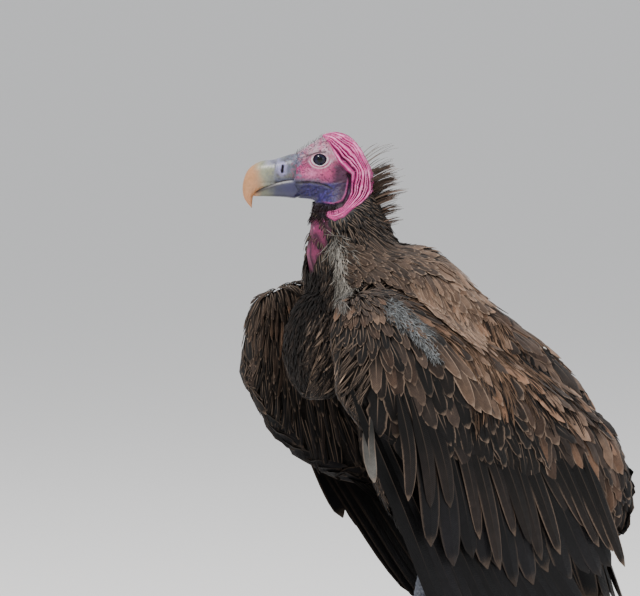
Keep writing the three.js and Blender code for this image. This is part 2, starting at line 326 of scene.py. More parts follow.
def scaled_by(tree, colour, levels, curve="LINEAR"):
    """The colour made darker or lighter by each level in turn: its source and the four ends of its range."""
    for level in levels:
        scale = add_node(tree, "ShaderNodeMapRange", dict(zip(RANGE, level)), interpolation_type=curve)
        colour = add_node(tree, "ShaderNodeVectorMath", {0: colour, "Scale": scale}, operation="SCALE")
    return colour


def layered(tree, colour, layers):
    """The colour with each layer mixed over it in turn: how much of it, and its own colour."""
    for share, paint in layers:
        inputs = {"Factor": share, "A": colour, "B": (*paint, 1)}
        colour = add_node(tree, "ShaderNodeMix", inputs, data_type="RGBA")
    return colour


def keratin(name, tint, grain, shade, gloss, relief):
    """A hard keratin sheath, and its shader: colour, gloss and relief all follow the grain of its layers.
    The tint is a colour or an attribute. The grain is its size in millimetres, detail and roughness."""
    material, tree, shader = new_material(name)
    place = add_node(tree, "ShaderNodeTexCoord").outputs["Object"]
    pattern = {"Vector": place, "Scale": 1 / (grain[0] * MM), "Detail": grain[1], "Roughness": grain[2]}
    layers = add_node(tree, "ShaderNodeTexNoise", pattern)
    if isinstance(tint, str):
        tint = add_node(tree, "ShaderNodeAttribute", attribute_name=tint)
    colour = scaled_by(tree, tint, [(layers, *shade)])
    dull = add_node(tree, "ShaderNodeMapRange", {"Value": layers, "To Min": gloss[0], "To Max": gloss[1]})
    bumps = {"Height": layers, "Strength": relief[0], "Distance": relief[1] * MM}
    normal = add_node(tree, "ShaderNodeBump", bumps)
    feed(shader, {"Base Color": colour, "Roughness": dull, "Normal": normal, "IOR": 1.54})
    return material, shader


work = {}  # the shapes that later operators lay their pieces on


# ---- what a user would change ----


def colour_property(name, description, code):
    """A colour to choose, from its hex code."""
    return bpy.props.FloatVectorProperty(name=name, description=description, subtype="COLOR", size=3,
        min=0, max=1, default=tuple(linear(code)))


def length_property(name, description, millimetres):
    """A length to choose."""
    return bpy.props.FloatProperty(name=name, description=description, unit="LENGTH", precision=4, min=0,
        default=millimetres * MM)


class VultureSizes(bpy.types.PropertyGroup):
    skin_voxel: length_property("Skin mesh", "Size of the skin's first even mesh", 3.5)
    feather_gauge: length_property("Vane thickness", "Thickness of a body feather at its shaft", 0.9)
    quill_gauge: length_property("Quill thickness", "Thickness of a flight feather at its shaft", 2.4)


class VultureColours(bpy.types.PropertyGroup):
    hood: colour_property("Hood", "Folded skin over the back of the head", "#B82C78")
    # The ridge colour is a painted highlight on the tops of the hood's folds; the furrow colour is painted
    # shade between them.
    hood_light: colour_property("Hood ridges", "Tops of the folds", "#F298C6")
    furrow: colour_property("Hood furrows", "Between the folds", "#460A30")
    crown: colour_property("Crown", "Pale skin of the forehead", "#A88A96")
    lores: colour_property("Lores", "Skin between the eye and the bill", "#A23C68")
    cheek: colour_property("Cheek", "Skin under the eye", "#733A5C")
    jaw: colour_property("Jaw", "Skin over the lower jaw", "#27204E")
    ear: colour_property("Ear", "Dark skin in front of the hood", "#3C1A34")
    rim: colour_property("Jaw rim", "Fold along the lower edge of the jaw", "#9A3C70")
    eye_ring: colour_property("Eye ring", "Bare ring round the eye", "#CFC0C8")
    # Also the painted shade in the mouth line, under the jaw, inside the lids, under the brow, in the nostril
    # and along the lower bill's edge.
    bristle_and_shade: colour_property("Bristles", "Bristles and creases of the face", "#241A1C")
    throat: colour_property("Throat", "Granular skin down the front of the neck", "#6E2448")
    cere: colour_property("Cere", "Skin over the base of the bill", "#55586A")
    nostril_rim: colour_property("Nostril rim", "Pale rim of the nostril", "#8F8BB0")
    horn: colour_property("Bill horn", "Sides of the bill", "#7C7E6A")
    horn_tip: colour_property("Bill tip", "Hook and front of the bill", "#B28058")
    mandible: colour_property("Lower bill", "Sides of the lower bill", "#34354A")
    iris: colour_property("Iris", "Eye round the pupil", "#17152A")
    leg: colour_property("Legs", "Scaly skin of legs and toes", "#50545F")
    claw: colour_property("Claws", "Horn of the claws", "#1C1A1A")
    # Near black: the skin and down, with painted shade where the feathers part.
    under_down_and_shade: colour_property("Under-down", "Skin and down under the plumage", "#1E1916")
    white_down: colour_property("White down", "Down at the base of the neck", "#A5A29C")
    feather: colour_property("Body feathers", "Brown of the contour feathers", "#342A24")
    feather_dark: colour_property("Dark feathers", "Crop, belly and lower coverts", "#0E0B0A")
    feather_pale: colour_property("Pale feathers", "Worn and frayed feathers of the back", "#775F4E")
    feather_edge: colour_property("Feather edges", "Worn margins of the vanes", "#907A68")
    quill: colour_property("Flight feathers", "Wing quills and tail", "#09080A")
    ruff: colour_property("Ruff", "Spiky feathers behind the head", "#5E5048")


# ---- the layout of the head's skin, in head millimetres: forward, up ----

HOOD_EDGE = ((-4, 70), (-4, 32), (-12.7, 23.3), (-19.3, 10.3), (-25.8, -2.7), (-35.5, -14), (-43.7, -22),
             (-44.5, -36), (-43.7, -46.5), (-39.6, -56), (-32.3, -65.8), (-22, -70.5), (-8, -73), (12, -74))
HOOD_BACK = ((-4, 42), (-17.8, 43), (-34, 39), (-50, 30), (-63, 13), (-72, -10), (-77, -30), (-75, -45),
    (-58.2, -60.9), (-45, -69.5), (-33.9, -79), (-21, -85), (-9, -80), (12, -79))
NAPE = ((20, -78), (-8, -79), (-21, -85.5), (-33.9, -80), (-45, -70), (-58.2, -61.5), (-75, -46), (-110, -20))
WATTLE_CREASES = (((6.5, -72), (-17.8, -114)), ((19.7, -104), (-22.6, -130)))
GAPE = ((46, -34.5), (35.7, -33.4), (16.2, -32.6), (6.5, -33.4), (-6, -36), (-17, -41))
JAW_EDGE = ((48, -56), (20, -57), (8, -57.8), (-6, -60), (-20, -61.5), (-31, -57), (-36, -48), (-38, -38),
    (-40, -26))
BROW = ((30, -2), (22.6, 2.8), (12, 6.6), (3, 9.4), (-8, 10.4))
EAR = (-42.0, -24.0)
LID_OPENING = 9.3


class HeadPlace:
    """What lies where on the head: each value is an array over the points given."""

    def __init__(self, points):
        x, f, u = to_head(points)
        self.x, self.f, self.u = x, f, u
        self.side = np.abs(x)
        distance, turn, _ = line_distance(f, u, HOOD_EDGE)
        self.hood_in = -turn * distance  # above 0 behind the hood's front edge
        behind, _, _ = line_distance(f, u, HOOD_BACK)
        nape, nape_turn, _ = line_distance(f, u, NAPE)
        room = np.maximum(self.hood_in, 0) + behind
        grain = np.stack([x, f, u], 1)
        wobble = rough(grain, 26, 1) * 0.9 + rough(grain, 9, 2) * 0.18
        across = (
            6.4 * np.clip(self.hood_in, 0, None) / np.maximum(room, 1) + 3.2
            * (1 - np.clip(self.side / 34, 0, 1)) ** 1.3 + wobble
        )
        self.phase = across + 0.22 * np.sin(2.3 * across + 1.2)
        ridge = np.abs(np.sin(np.pi * self.phase)) ** 0.8
        split = ease(0.0, 0.25, rough(grain, 20, 4)) * bump(np.sin(np.pi * self.phase) ** 2 - 1, 0.22)
        self.fold = ridge * (1 - 0.4 * split)
        self.hood = ease(-1.0, 1.2, self.hood_in) * ease(-1.5, 1.0, -nape_turn * nape)
        self.hood *= 1 - ease(-13, -7, f) * (u < -50)
        self.fold_depth = ease(6, 24, room) * ease(0.0, 3, self.hood_in) * (0.75 + 0.4 * rough(grain, 16, 3))
        self.below_nape = nape_turn * nape
        self.eye = eye_reach(f, u)
        self.gape, _, _ = line_distance(f, u, GAPE)
        jaw, jaw_turn, _ = line_distance(f, u, JAW_EDGE)
        self.jaw_in = -jaw_turn * jaw  # above 0 on the jaw
        brow, brow_turn, _ = line_distance(f, u, BROW)
        self.brow_above = brow_turn * brow
        self.ear = np.hypot(f - EAR[0], (u - EAR[1]) * 0.8)
        self.flank = ease(8, 20, self.side)  # 0 on the mid-line, 1 on the cheeks


def head_weight(points):
    """1 on the bare head and foreneck, 0 where feathers start."""
    _, _, u = to_head(points)
    return ease(-104, -84, u)


def face_relief(points):
    """How far the head's skin stands out from the plain shape, in millimetres along its normal."""
    place = HeadPlace(points)
    f, u = place.f, place.u
    grain = np.stack([place.x, f, u], 1)
    front = 1 - place.hood
    face = front * place.flank
    rise = place.hood + place.hood * place.fold_depth * (place.fold * 6.4 - 4.4)
    rise -= 1.6 * bump(place.hood_in + 1.6, 1.5) * place.flank * ease(-90, -60, u)
    rise += 0.9 * bump(place.hood_in - 1.4, 1.6) * ease(-95, -70, u)
    rise -= face * 1.7 * bump(place.gape, 1.3) * ease(-20, -8, f)
    rise += face * 0.9 * bump(place.gape - 3.2, 2.2) * ease(-18, -4, f)
    rise += face * 1.2 * ease(0, 5, place.jaw_in) * (1 - ease(-36, -31, u))
    rise += face * bump(place.jaw_in + 0.2, 1.4) * ease(0, 14, -f)
    rise -= face * 2.4 * bump(place.jaw_in + 3.4, 1.8)
    rise += (
        face * (1.9 * bump(place.brow_above - 2.6, 2.8) - 1.5 * bump(place.brow_above + 0.4, 1.1))
        * ease(11, 13, place.eye)
    )
    rise -= 4.5 * bump(place.ear, 3.6) * place.flank
    rise += 1.3 * bump(place.ear - 6.5, 2.0) * place.flank * ease(-24, -18, u)
    crown = front * ease(6, 18, u) * ease(-16, -6, f)
    rise += crown * (0.8 * rough(grain * [1, 0.45, 1], 3.4, 5) + 0.6 * rough(grain, 7, 16))
    cheek = face * ease(13, 17, place.eye)
    rise += cheek * (0.4 * rough(grain, 4.5, 6) + 0.25 * rough(grain, 2.2, 7))
    lines = np.sin((u * 0.9 + f * 0.35) * 0.9 + 2 * rough(grain, 12, 8))
    rise += cheek * 0.28 * lines * (1 - ease(-30, -22, u))
    throat = ease(-70, -78, u) * (1 - place.hood)
    rise += throat * (0.9 * np.abs(rough(grain, 4.2, 9)) + 0.6 * rough(grain, 9, 10))
    return rise


def eye_reach(f, u):
    """Distance from the eye's middle, stretched so that the lids open wider than they're high."""
    return np.hypot(f, u * np.where(u > 0, 1.42, 1.24))


def eye_socket(points):
    """The points with the lids drawn round each eye: a raised ring that hugs the ball, open in front."""
    x, f, u = to_head(points)
    near = np.hypot(f, u)
    side = np.sign(x)
    here = (near < 22) & (np.abs(x) > 16)
    reach = eye_reach(f, u)
    ball = EYE_SPREAD + np.sqrt(np.maximum(EYE_RADIUS**2 - near**2, 0))
    inside = EYE_SPREAD + np.sqrt(np.maximum((EYE_RADIUS - 1.6) ** 2 - near**2, 0.0)) - 0.4
    ring = 31.2 + 1.8 * bump(reach - 11.0, 1.4) + 0.8 * bump(reach - 15.4, 1.1)
    lid = np.where(near < EYE_RADIUS - 0.3, np.maximum(ball + 0.55, ring), ring)
    t = ease(LID_OPENING - 0.8, LID_OPENING + 0.5, reach)
    target = inside * (1 - t) + lid * t
    blend = 1 - ease(14.5, 19, near)
    moved = np.abs(x) * (1 - blend) + target * blend
    x = np.where(here, side * moved, x)
    return from_head(np.stack([x, f, u], 1))


# ---- the coat's lie and markings over the body ----


def layout_of(points):
    """Metres in the row's frame to layout millimetres."""
    return (np.asarray(points, float) - LAYOUT) / MM


def coat_depth(points):
    """How deep the skin lies under the coat's outside, in millimetres: 0 where it's bare."""
    p = layout_of(points)
    x, y, z = p.T
    depth = np.full(len(p), 9.0)
    depth = depth * (1 - ease(560, 640, z)) + 6.0 * ease(560, 640, z)
    depth *= 1 - head_weight(points)
    bare_neck = bump(x + 8, 24) * (1 - ease(20, 44, y)) * ease(590, 620, z)
    depth *= 1 - 0.85 * bare_neck
    legs = (np.abs(np.abs(x) - FOOT_SPREAD) < 60) & (z < 250)
    return np.where(legs, depth * ease(150, 240, z), depth)


def room_inside(points, normals):
    """How thick the body is under each point, in millimetres, up to 60."""
    tree = work["envelope"]
    found = np.full(len(points), 60.0)
    for i in np.flatnonzero(coat_depth(points) > 0.1):
        inward = Vector(-normals[i])
        hit = tree.ray_cast(Vector(points[i]) + inward * MM, inward, 0.06)[3]
        if hit is not None:
            found[i] = hit / MM + 1
    return found


def select_points(obj, chosen):
    """Selects just these points, and what lies between them, and leaves the mesh in edit mode."""
    activate(obj)
    bpy.ops.object.mode_set(mode="EDIT")
    bpy.ops.mesh.select_mode(type="VERT")
    bpy.ops.mesh.select_all(action="DESELECT")
    bpy.ops.object.mode_set(mode="OBJECT")
    obj.data.vertices.foreach_set("select", np.asarray(chosen, bool))
    bpy.ops.object.mode_set(mode="EDIT")
    bpy.ops.mesh.select_mode(type="VERT")


def plain_body(voxel):
    """One closed mesh of all the flesh, on the frame's outline."""
    pieces = []
    for name in FLESH + TOE_NODES:
        piece = bpy.data.objects.new("flesh", frame["nodes"][name].data.copy())
        bpy.context.scene.collection.objects.link(piece)
        pieces.append(piece)
    activate(*pieces)
    bpy.ops.object.join()
    skin = bpy.context.view_layer.objects.active
    skin.name = "skin"
    bpy.ops.object.mode_set(mode="EDIT")
    bpy.ops.mesh.select_all(action="SELECT")
    bpy.ops.mesh.remove_doubles(threshold=2e-5)
    bpy.ops.object.mode_set(mode="OBJECT")
    apply_modifier(skin, "REMESH", mode="VOXEL", voxel_size=voxel)
    points = points_of(skin)
    select_points(skin, np.arange(len(points)) == points[:, 2].argmax())
    bpy.ops.mesh.select_linked()
    bpy.ops.mesh.select_all(action="INVERT")
    bpy.ops.mesh.delete(type="VERT")
    bpy.ops.object.mode_set(mode="OBJECT")
    points, edges = points_of(skin), edges_of(skin)
    body = ease(0.004, 0.2, points[:, 2])[:, None]
    points = relaxed(points, edges, 8) * body + relaxed(points, edges, 2) * (1 - body)
    points[:, 2] = np.maximum(points[:, 2], 0)
    move_points(skin, points)
    return skin


def refine(skin):
    """Thins the mesh where plumage hides it and splits it finely over the head."""
    points = points_of(skin)
    select_points(skin, (head_weight(points) < 0.01) & (points[:, 2] > 0.165))
    bpy.ops.mesh.decimate(ratio=0.1)
    bpy.ops.object.mode_set(mode="OBJECT")
    points = points_of(skin)
    head = head_weight(points) > 0.6
    select_points(skin, head)
    bpy.ops.mesh.subdivide(number_cuts=3, smoothness=0.6)
    bpy.ops.object.mode_set(mode="OBJECT")
    points, edges = points_of(skin), edges_of(skin)
    weight = ease(0.2, 0.7, head_weight(points))[:, None]
    move_points(skin, relaxed(points, edges, 4) * weight + points * (1 - weight))


def dress_skin(skin):
    """Sinks the skin by the coat's depth and raises the head's folds, lids and creases."""
    points, normals = points_of(skin), normals_of(skin)
    depth = np.minimum(coat_depth(points), 0.36 * relaxed(room_inside(points, normals), edges_of(skin), 2))
    move_points(skin, points - normals * (depth * MM)[:, None])
    points = points_of(skin)
    head = head_weight(points) > 0.001
    normals = relaxed(normals_of(skin), edges_of(skin), 6)[head]
    normals /= np.linalg.norm(normals, axis=1)[:, None]
    weight = head_weight(points[head])
    rise = np.clip(face_relief(points[head]), -5.5, 4.2) * weight
    points[head] += normals * (rise * MM)[:, None]
    points[head] = eye_socket(points[head])
    points[:, 2] = np.maximum(points[:, 2], 0)
    move_points(skin, points)


def keep_unwrap(skin):
    """Unwraps the even skin and keeps where each face lies, so that tufts can be baked by their roots."""
    activate(skin)
    bpy.ops.object.mode_set(mode="EDIT")
    bpy.ops.mesh.select_all(action="SELECT")
    bpy.ops.uv.smart_project(angle_limit=math.radians(66), island_margin=0.002)
    bpy.ops.object.mode_set(mode="OBJECT")
    mesh = skin.data
    layer = mesh.uv_layers.active
    flat = mesh_values(layer.data, "uv", 2)
    starts = mesh_values(mesh.polygons, "loop_start", 1, int)[:, 0]
    work["root_uv"] = (flat[starts] + flat[starts + 2]) / 2
    work["faces"] = BVHTree.FromPolygons([v.co for v in mesh.vertices], [p.vertices for p in mesh.polygons])
    mesh.uv_layers.remove(layer)


# ---- the head's colours ----


class Palette:
    """The chosen colours as arrays, by name."""

    def __init__(self):
        chosen = bpy.context.scene.vulture_colours
        for name in VultureColours.__annotations__:
            setattr(self, name, np.array(getattr(chosen, name)))


def mix(a, b, t):
    """Between colours a and b, each one colour or one per point."""
    t = np.asarray(t, float)[:, None]
    return np.asarray(a) * (1 - t) + np.asarray(b) * t


def painted(colour, *layers):
    """The colour with each layer mixed over it in turn: the layer's own colour, and how much of it."""
    for paint, share in layers:
        colour = mix(colour, paint, share)
    return colour


def head_colour(points, c):
    """The bare skin's colour at each point: pale crown, pink hood with painted highlights on its ridges and
    painted shade in its furrows, violet jaw, and painted shade in the face's hollows.
    """
    place = HeadPlace(points)
    f, u, side = place.f, place.u, place.side
    grain = np.stack([place.x, f, u], 1)
    cloud, patch, spot, fleck = rough(grain, 14, 11), rough(grain, 7, 16), rough(grain, 4.5,
        12), rough(grain, 2.6, 17)
    colour = mix(c.crown, c.lores, ease(-0.1, 0.35, patch) * 0.6)
    colour = painted(
        colour,
        (c.lores, 1 - ease(-10, 4, u + 5 * cloud)),
        (c.hood, 0.45 * bump(np.hypot(f - 25, (u + 9) * 1.1), 12)),
        (c.crown, 0.5 * ease(0.05, 0.4, spot) * ease(-24, -6, u)),
        (c.ear, 0.55 * bump(np.hypot((f - 24) * 0.8, u - 1), 9) * ease(-0.3, 0.2, patch)),
        (c.hood_light * 0.8, 0.5 * bump(np.hypot((f - 13) * 0.7, u + 20), 9)),
        (c.cheek, 0.85 * (1 - ease(-31, -20, u + 4 * cloud))),
        (c.ear, 0.95 * (1 - ease(-25, -11, f + 5 * cloud + 3 * patch)) * (1 - ease(-12, 2, u))),
        (c.cere * 0.8, 0.8 * (1 - ease(-31, -25, u + 3 * spot)) * ease(-8, 6, f)),
        (c.jaw, 1 - ease(-35, -31, u + 2 * spot)),
        (c.jaw * 2.6, 0.6 * ease(0.05, 0.45, spot) * (1 - ease(-35, -31, u))),
        (c.ear * 0.7, 0.8 * (1 - ease(-31, -16, f + 5 * patch)) * (1 - ease(-38, -24, u))),
    )
    bridge = ease(21, 36, f + 10 * patch + 12 * spot + 4 * fleck) * ease(-34, -30, u)
    colour = mix(colour, mix(c.cere * 0.7, c.cere * 1.5, ease(-0.3, 0.4, spot)), 0.9 * bridge)
    bridge = ease(22, 30, f + 9 * spot) * (1 - ease(-34, -30, u))
    colour = mix(colour, c.mandible * 0.8, 0.8 * bridge)
    freckled = np.maximum(ease(4, 14, u) * ease(-18, -8, f), 0.6 * bump(np.hypot(f - 27, u), 16))
    colour = painted(
        colour,
        (c.ear, 0.85 * ease(0.22, 0.4, fleck) * freckled),
        (c.ear * 0.8, 0.5 * ease(0.25, 0.45, fleck) * (1 - freckled) * (1 - ease(-6, 2, u))),
        # Painted shade in the mouth line.
        (c.bristle_and_shade, 0.8 * bump(place.gape, 1.5)),
        (c.rim, 0.8 * bump(place.jaw_in + 0.2, 1.2) * ease(0, 18, -f)),
    )
    # Painted shade under the jaw's lower edge.
    under = ease(1.5, 4, -place.jaw_in) * (1 - ease(-58, -50, u))
    colour = mix(colour, c.bristle_and_shade, 0.9 * under)
    # The hood: a painted highlight on the fold tops, random darker clouds, and painted shade down in the
    # furrows.
    hood = mix(c.hood, c.hood_light, 0.6 * ease(0.78, 1.0, place.fold + 0.3 * patch))
    hood = mix(hood, c.furrow * 1.8, 0.3 * ease(0.05, 0.5, cloud))
    hood = mix(hood, c.furrow, 0.5 * (1 - ease(0.3, 0.74, place.fold))
        * np.clip(place.fold_depth * 1.6, 0, 1))
    colour = painted(
        colour,
        (hood, place.hood),
        # Painted shade just in front of the hood's raised edge, and in the ear's hollow.
        (c.furrow * 0.5, 0.9 * bump(place.hood_in + 0.8, 1.3) * (1 - ease(-30, -2, u))),
        (c.ear * 0.25, bump(place.ear, 4.6) * place.flank),
    )
    flank = ease(16, 22, side)
    colour = mix(colour, c.lores, 0.7 * flank * bump(place.eye - 13.6, 1.3) * (1 - ease(-2, 4, u)))
    # The pale eye ring fades toward its top: painted shade under the brow.
    ring = (
        flank * ease(9.6, 10.3, place.eye) * (1 - ease(11.6, 13.0, place.eye + 0.8 * spot))
        * (1 - 0.8 * ease(2, 6, u))
    )
    colour = painted(
        colour,
        (c.eye_ring, ring),
        (c.eye_ring, 0.6 * flank * bump(place.eye - 15.6, 1.0) * (1 - ease(-4, 2, u))),
        # Painted shade inside the lid opening, and a dark line under the brow that is partly the dark lid and
        # partly painted shade.
        (c.bristle_and_shade * 0.4, flank * (1 - ease(9.2, 10.0, place.eye))),
        (c.bristle_and_shade, 0.85 * bump(place.brow_above + 0.3, 1.4) * ease(11, 12.5, place.eye) * flank),
    )
    neck = mix(c.throat, c.furrow * 0.7, ease(-0.1, 0.5, rough(grain, 5, 14)))
    neck = mix(neck, c.hood_light, 0.5 * ease(0.25, 0.6, rough(grain, 3.2, 15)))
    below = (1 - ease(-88, -80, u)) * (1 - place.hood)
    colour = mix(colour, neck, below)
    nape = ease(-6, 0, place.below_nape) * (1 - ease(-14, -4, f))
    colour = mix(colour, c.feather_dark, nape * (1 - place.hood))
    return colour


def body_colour(points, c):
    """The skin and down under the plumage, near black with painted shade where the feathers part, and the
    scaly legs.
    """
    p = layout_of(points)
    x, _, z = p.T
    # The near-black base is the skin and down, with painted shade where the feathers part.
    colour = np.tile(c.under_down_and_shade, (len(p), 1))
    s = quarter(p)
    patch, _, _ = line_distance(s, z, DOWN_PATCH)
    white = np.maximum(1 - ease(6, 13, patch), white_at_neck(p))
    colour = mix(colour, c.white_down * 0.6, white)
    leg = (1 - ease(150, 185, z)) * (np.abs(np.abs(x) - FOOT_SPREAD) < 60)
    colour = mix(colour, c.leg, leg)
    return colour


def neck_bare(points):
    """1 on the bare skin down the front of the neck."""
    p = layout_of(points)
    x, y, z = p.T
    front = 1 - ease(16, 44, y + 0.35 * np.abs(x + 8))
    width = 20 + 34 * ease(596, 650, z)
    strip = 1 - ease(0.6 * width, width, np.abs(x + 13))
    return front * strip * ease(585, 612, z) * (1 - ease(690, 740, z))


def wattle_crease(points, width):
    """1 along the two dark creases that part the wattles of the foreneck."""
    _, f, u = to_head(points)
    return (
        np.maximum(*(bump(line_distance(f, u, line)[0], width) for line in WATTLE_CREASES))
        * ease(-45, -25, f)
    )


def skin_colour(points, c):
    """Colour of the skin at each point, with 1 in its fourth value where it's bare and moist."""
    weight = ease(0.0, 0.5, head_weight(points))
    colour = body_colour(points, c)
    bare = neck_bare(points)
    grain = layout_of(points)
    neck = mix(c.throat, c.furrow * 0.6, ease(-0.1, 0.5, rough(grain, 6, 14)))
    neck = mix(neck, c.hood, 0.6 * ease(0.2, 0.55, rough(grain, 4, 15)))
    colour = mix(colour, neck, bare)
    near = weight > 0
    colour[near] = mix(colour[near], head_colour(points[near], c), weight[near])
    colour = mix(colour, c.feather_dark, 0.9 * wattle_crease(points, 3.0))
    leg = grain[:, 2] < 185
    return np.column_stack([colour, np.maximum(np.maximum(weight, bare), leg)])


FOLD_UNIT = 10  # folds to one unit of the attribute that counts them


def fold_attribute(points):
    """For each point how many folds lie before it, in fold units, and how strongly folded it is."""
    place = HeadPlace(points)
    strength = place.hood * np.clip(1.5 * place.fold_depth, 0, 1)
    return np.stack([place.phase / FOLD_UNIT, strength, 0 * strength], 1)


def skin_material(c):
    """Bare bird skin: soft and slightly moist, lit from within where thin, pored and finely wrinkled."""
    material, tree, shader = new_material("bare_skin")
    markings = add_node(tree, "ShaderNodeAttribute", attribute_name="markings")
    place = add_node(tree, "ShaderNodeTexCoord").outputs["Object"]
    pattern = {"Vector": place, "Scale": 1 / (3.0 * MM), "Detail": 4.0, "Roughness": 0.6}
    blotches = add_node(tree, "ShaderNodeTexNoise", pattern)
    colour = scaled_by(tree, markings, [(blotches, 0.3, 0.7, 0.72, 1.18)])
    folds = add_node(tree, "ShaderNodeAttribute", attribute_name="folds")
    phase, strength, _ = add_node(tree, "ShaderNodeSeparateColor", {0: folds}).outputs[:3]
    turns = add_node(tree, "ShaderNodeMath", {0: phase, 1: FOLD_UNIT * math.pi}, operation="MULTIPLY")
    wave = add_node(tree, "ShaderNodeMath", {0: turns}, operation="SINE")
    ridge = add_node(tree, "ShaderNodeMath", {0: wave}, operation="ABSOLUTE")
    # A painted highlight on the tops of the hood's folds and painted shade in their furrows, as strong as the
    # folds attribute says.
    for low, high, most, paint in ((0.8, 1.0, 0.5, c.hood_light), (0.5, 0.1, 0.97, c.furrow)):
        span = dict(zip(RANGE, (ridge, low, high, 0, most)))
        near = add_node(tree, "ShaderNodeMapRange", span, interpolation_type="SMOOTHSTEP")
        share = add_node(tree, "ShaderNodeMath", {0: near, 1: strength}, operation="MULTIPLY")
        colour = layered(tree, colour, [(share, paint)])
    height = add_node(tree, "ShaderNodeMath", {0: ridge, 1: strength}, operation="MULTIPLY")
    swell = add_node(tree, "ShaderNodeBump", {"Height": height, "Strength": 0.7, "Distance": 1.2 * MM})
    # Pores and wrinkles are drawn about twice as coarse as real ones, so that they show.
    pores = add_node(tree, "ShaderNodeTexVoronoi", {"Vector": place, "Scale": 1 / (1.7 * MM)})
    pattern = {"Vector": place, "Scale": 1 / (1.6 * MM), "Detail": 5.0}
    wrinkles = add_node(tree, "ShaderNodeTexNoise", pattern)
    grain = add_node(tree, "ShaderNodeMath", {0: pores, 1: wrinkles}, operation="ADD")
    bumps = {"Height": grain, "Strength": 0.5, "Distance": 0.5 * MM, "Normal": swell}
    relief = add_node(tree, "ShaderNodeBump", bumps)
    gloss = add_node(tree, "ShaderNodeMapRange", {"Value": wrinkles, "To Min": 0.62, "To Max": 0.36})
    moist = add_node(tree, "ShaderNodeMath", {0: markings.outputs["Alpha"], 1: gloss}, operation="MULTIPLY")
    dull = add_node(tree, "ShaderNodeMath", {0: 1.0, 1: moist}, operation="SUBTRACT")
    feed(shader, {"Base Color": colour, "Normal": relief, "Roughness": dull, "IOR": 1.42})
    feed(shader, {"Subsurface Weight": 0.12, "Subsurface Radius": (1.0, 0.35, 0.2)})
    feed(shader, {"Subsurface Scale": 2.0 * MM})
    return material


# ---- swept solids: bill and claws ----


def swept(name, stations, around, along, square=2.0, sideways=(1, 0, 0)):
    """A sphere carried along stations, and its points there. Each station gives its middle (x, y, z),
    its half width, and its half height above and below."""
    bpy.ops.object.select_all(action="DESELECT")
    bpy.ops.mesh.primitive_uv_sphere_add(segments=around, ring_count=along, radius=1.0)
    obj = bpy.context.view_layer.objects.active
    obj.name = name
    unit = points_of(obj)
    down = np.arccos(np.clip(unit[:, 2], -1, 1)) / np.pi
    turn = np.arctan2(unit[:, 1], unit[:, 0])
    t = 0.5 * down + 0.25 * (1 - np.cos(np.pi * down))
    table = np.asarray(stations, float)
    chord = np.r_[0, np.cumsum(np.sqrt(np.linalg.norm(np.diff(table[:, :3], axis=0), axis=1)))]
    s = t * chord[-1]
    where = np.interp(s, chord, np.linspace(0, 1, len(table)))
    spine = curve_through(table[:, :3], where)
    ahead = (
        curve_through(table[:, :3], np.clip(where + 1e-3, 0, 1))
        - curve_through(table[:, :3], np.clip(where - 1e-3, 0, 1))
    )
    ahead /= np.maximum(np.linalg.norm(ahead, axis=1)[:, None], 1e-9)
    half = np.maximum(curve_through(table[:, 3:], where), 0)
    side = np.tile(np.asarray(sideways, float), (len(t), 1))
    side -= ahead * (side * ahead).sum(1)[:, None]
    side /= np.linalg.norm(side, axis=1)[:, None]
    over = np.cross(side, ahead)
    cosine, sine = np.cos(turn), np.sin(turn)
    across = np.sign(cosine) * np.abs(cosine) ** (2 / square)
    up = np.sign(sine) * np.abs(sine) ** (2 / square)
    tall = np.where(sine > 0, half[:, 1], half[:, 2])
    ends = (t < 1e-4) | (t > 1 - 1e-4)
    across = np.where(ends, 0, across)
    up = np.where(ends, 0, up)
    points = spine + side * (half[:, 0] * across)[:, None] + over * (tall * up)[:, None]
    return obj, points


def placed(obj, points):
    """Moves a swept solid's points to their place and turns its faces outward."""
    move_points(obj, points)
    activate(obj)
    bpy.ops.object.mode_set(mode="EDIT")
    bpy.ops.mesh.select_all(action="SELECT")
    bpy.ops.mesh.normals_make_consistent(inside=False)
    bpy.ops.object.mode_set(mode="OBJECT")
    bpy.ops.object.shade_smooth()
    return obj


UPPER_BILL = ((0, 26, -13, 12, 14, 14), (0, 30, -13, 17, 19.5, 19), (0, 38, -14, 20.2, 20, 20),
    (0, 52, -17, 17.8, 18.6, 19.0), (0, 64, -19.6, 16.8, 18.6, 19.4), (0, 77, -22.8, 15.4, 20.4, 20.8),
    (0, 88.5, -29, 12.4, 19, 19), (0, 97, -39, 9, 13.2, 13.4), (0, 101, -51, 5.6, 7.8, 8),
    (0, 99.4, -61, 3.1, 4, 4), (0, 96.4, -70, 0, 0, 0))
LOWER_BILL = ((0, 24, -44, 12, 9, 6), (0, 28, -44, 16, 16, 10), (0, 36, -43, 18.8, 18, 13),
    (0, 50, -43.8, 16.9, 16.6, 10.7), (0, 64, -45.4, 14.8, 13.6, 8.4), (0, 80, -48.2, 11, 8.6, 5.2),
    (0, 91, -51.1, 5.2, 3.8, 2.1), (0, 94.5, -52, 0, 0, 0))
NOSTRIL = (52.7, -14.2, 4.2)  # forward, up, half height
CERE_FRONT = 63.0


def cere_edge(u):
    """How far forward the cere reaches at each height."""
    return CERE_FRONT - 0.16 * (u + 10)


def nostril_reach(f, u):
    """Distance from the nostril's slit."""
    slit_u = np.clip(u - NOSTRIL[1], -NOSTRIL[2], NOSTRIL[2])
    return np.hypot(f - NOSTRIL[0] + 0.12 * slit_u, u - NOSTRIL[1] - slit_u)


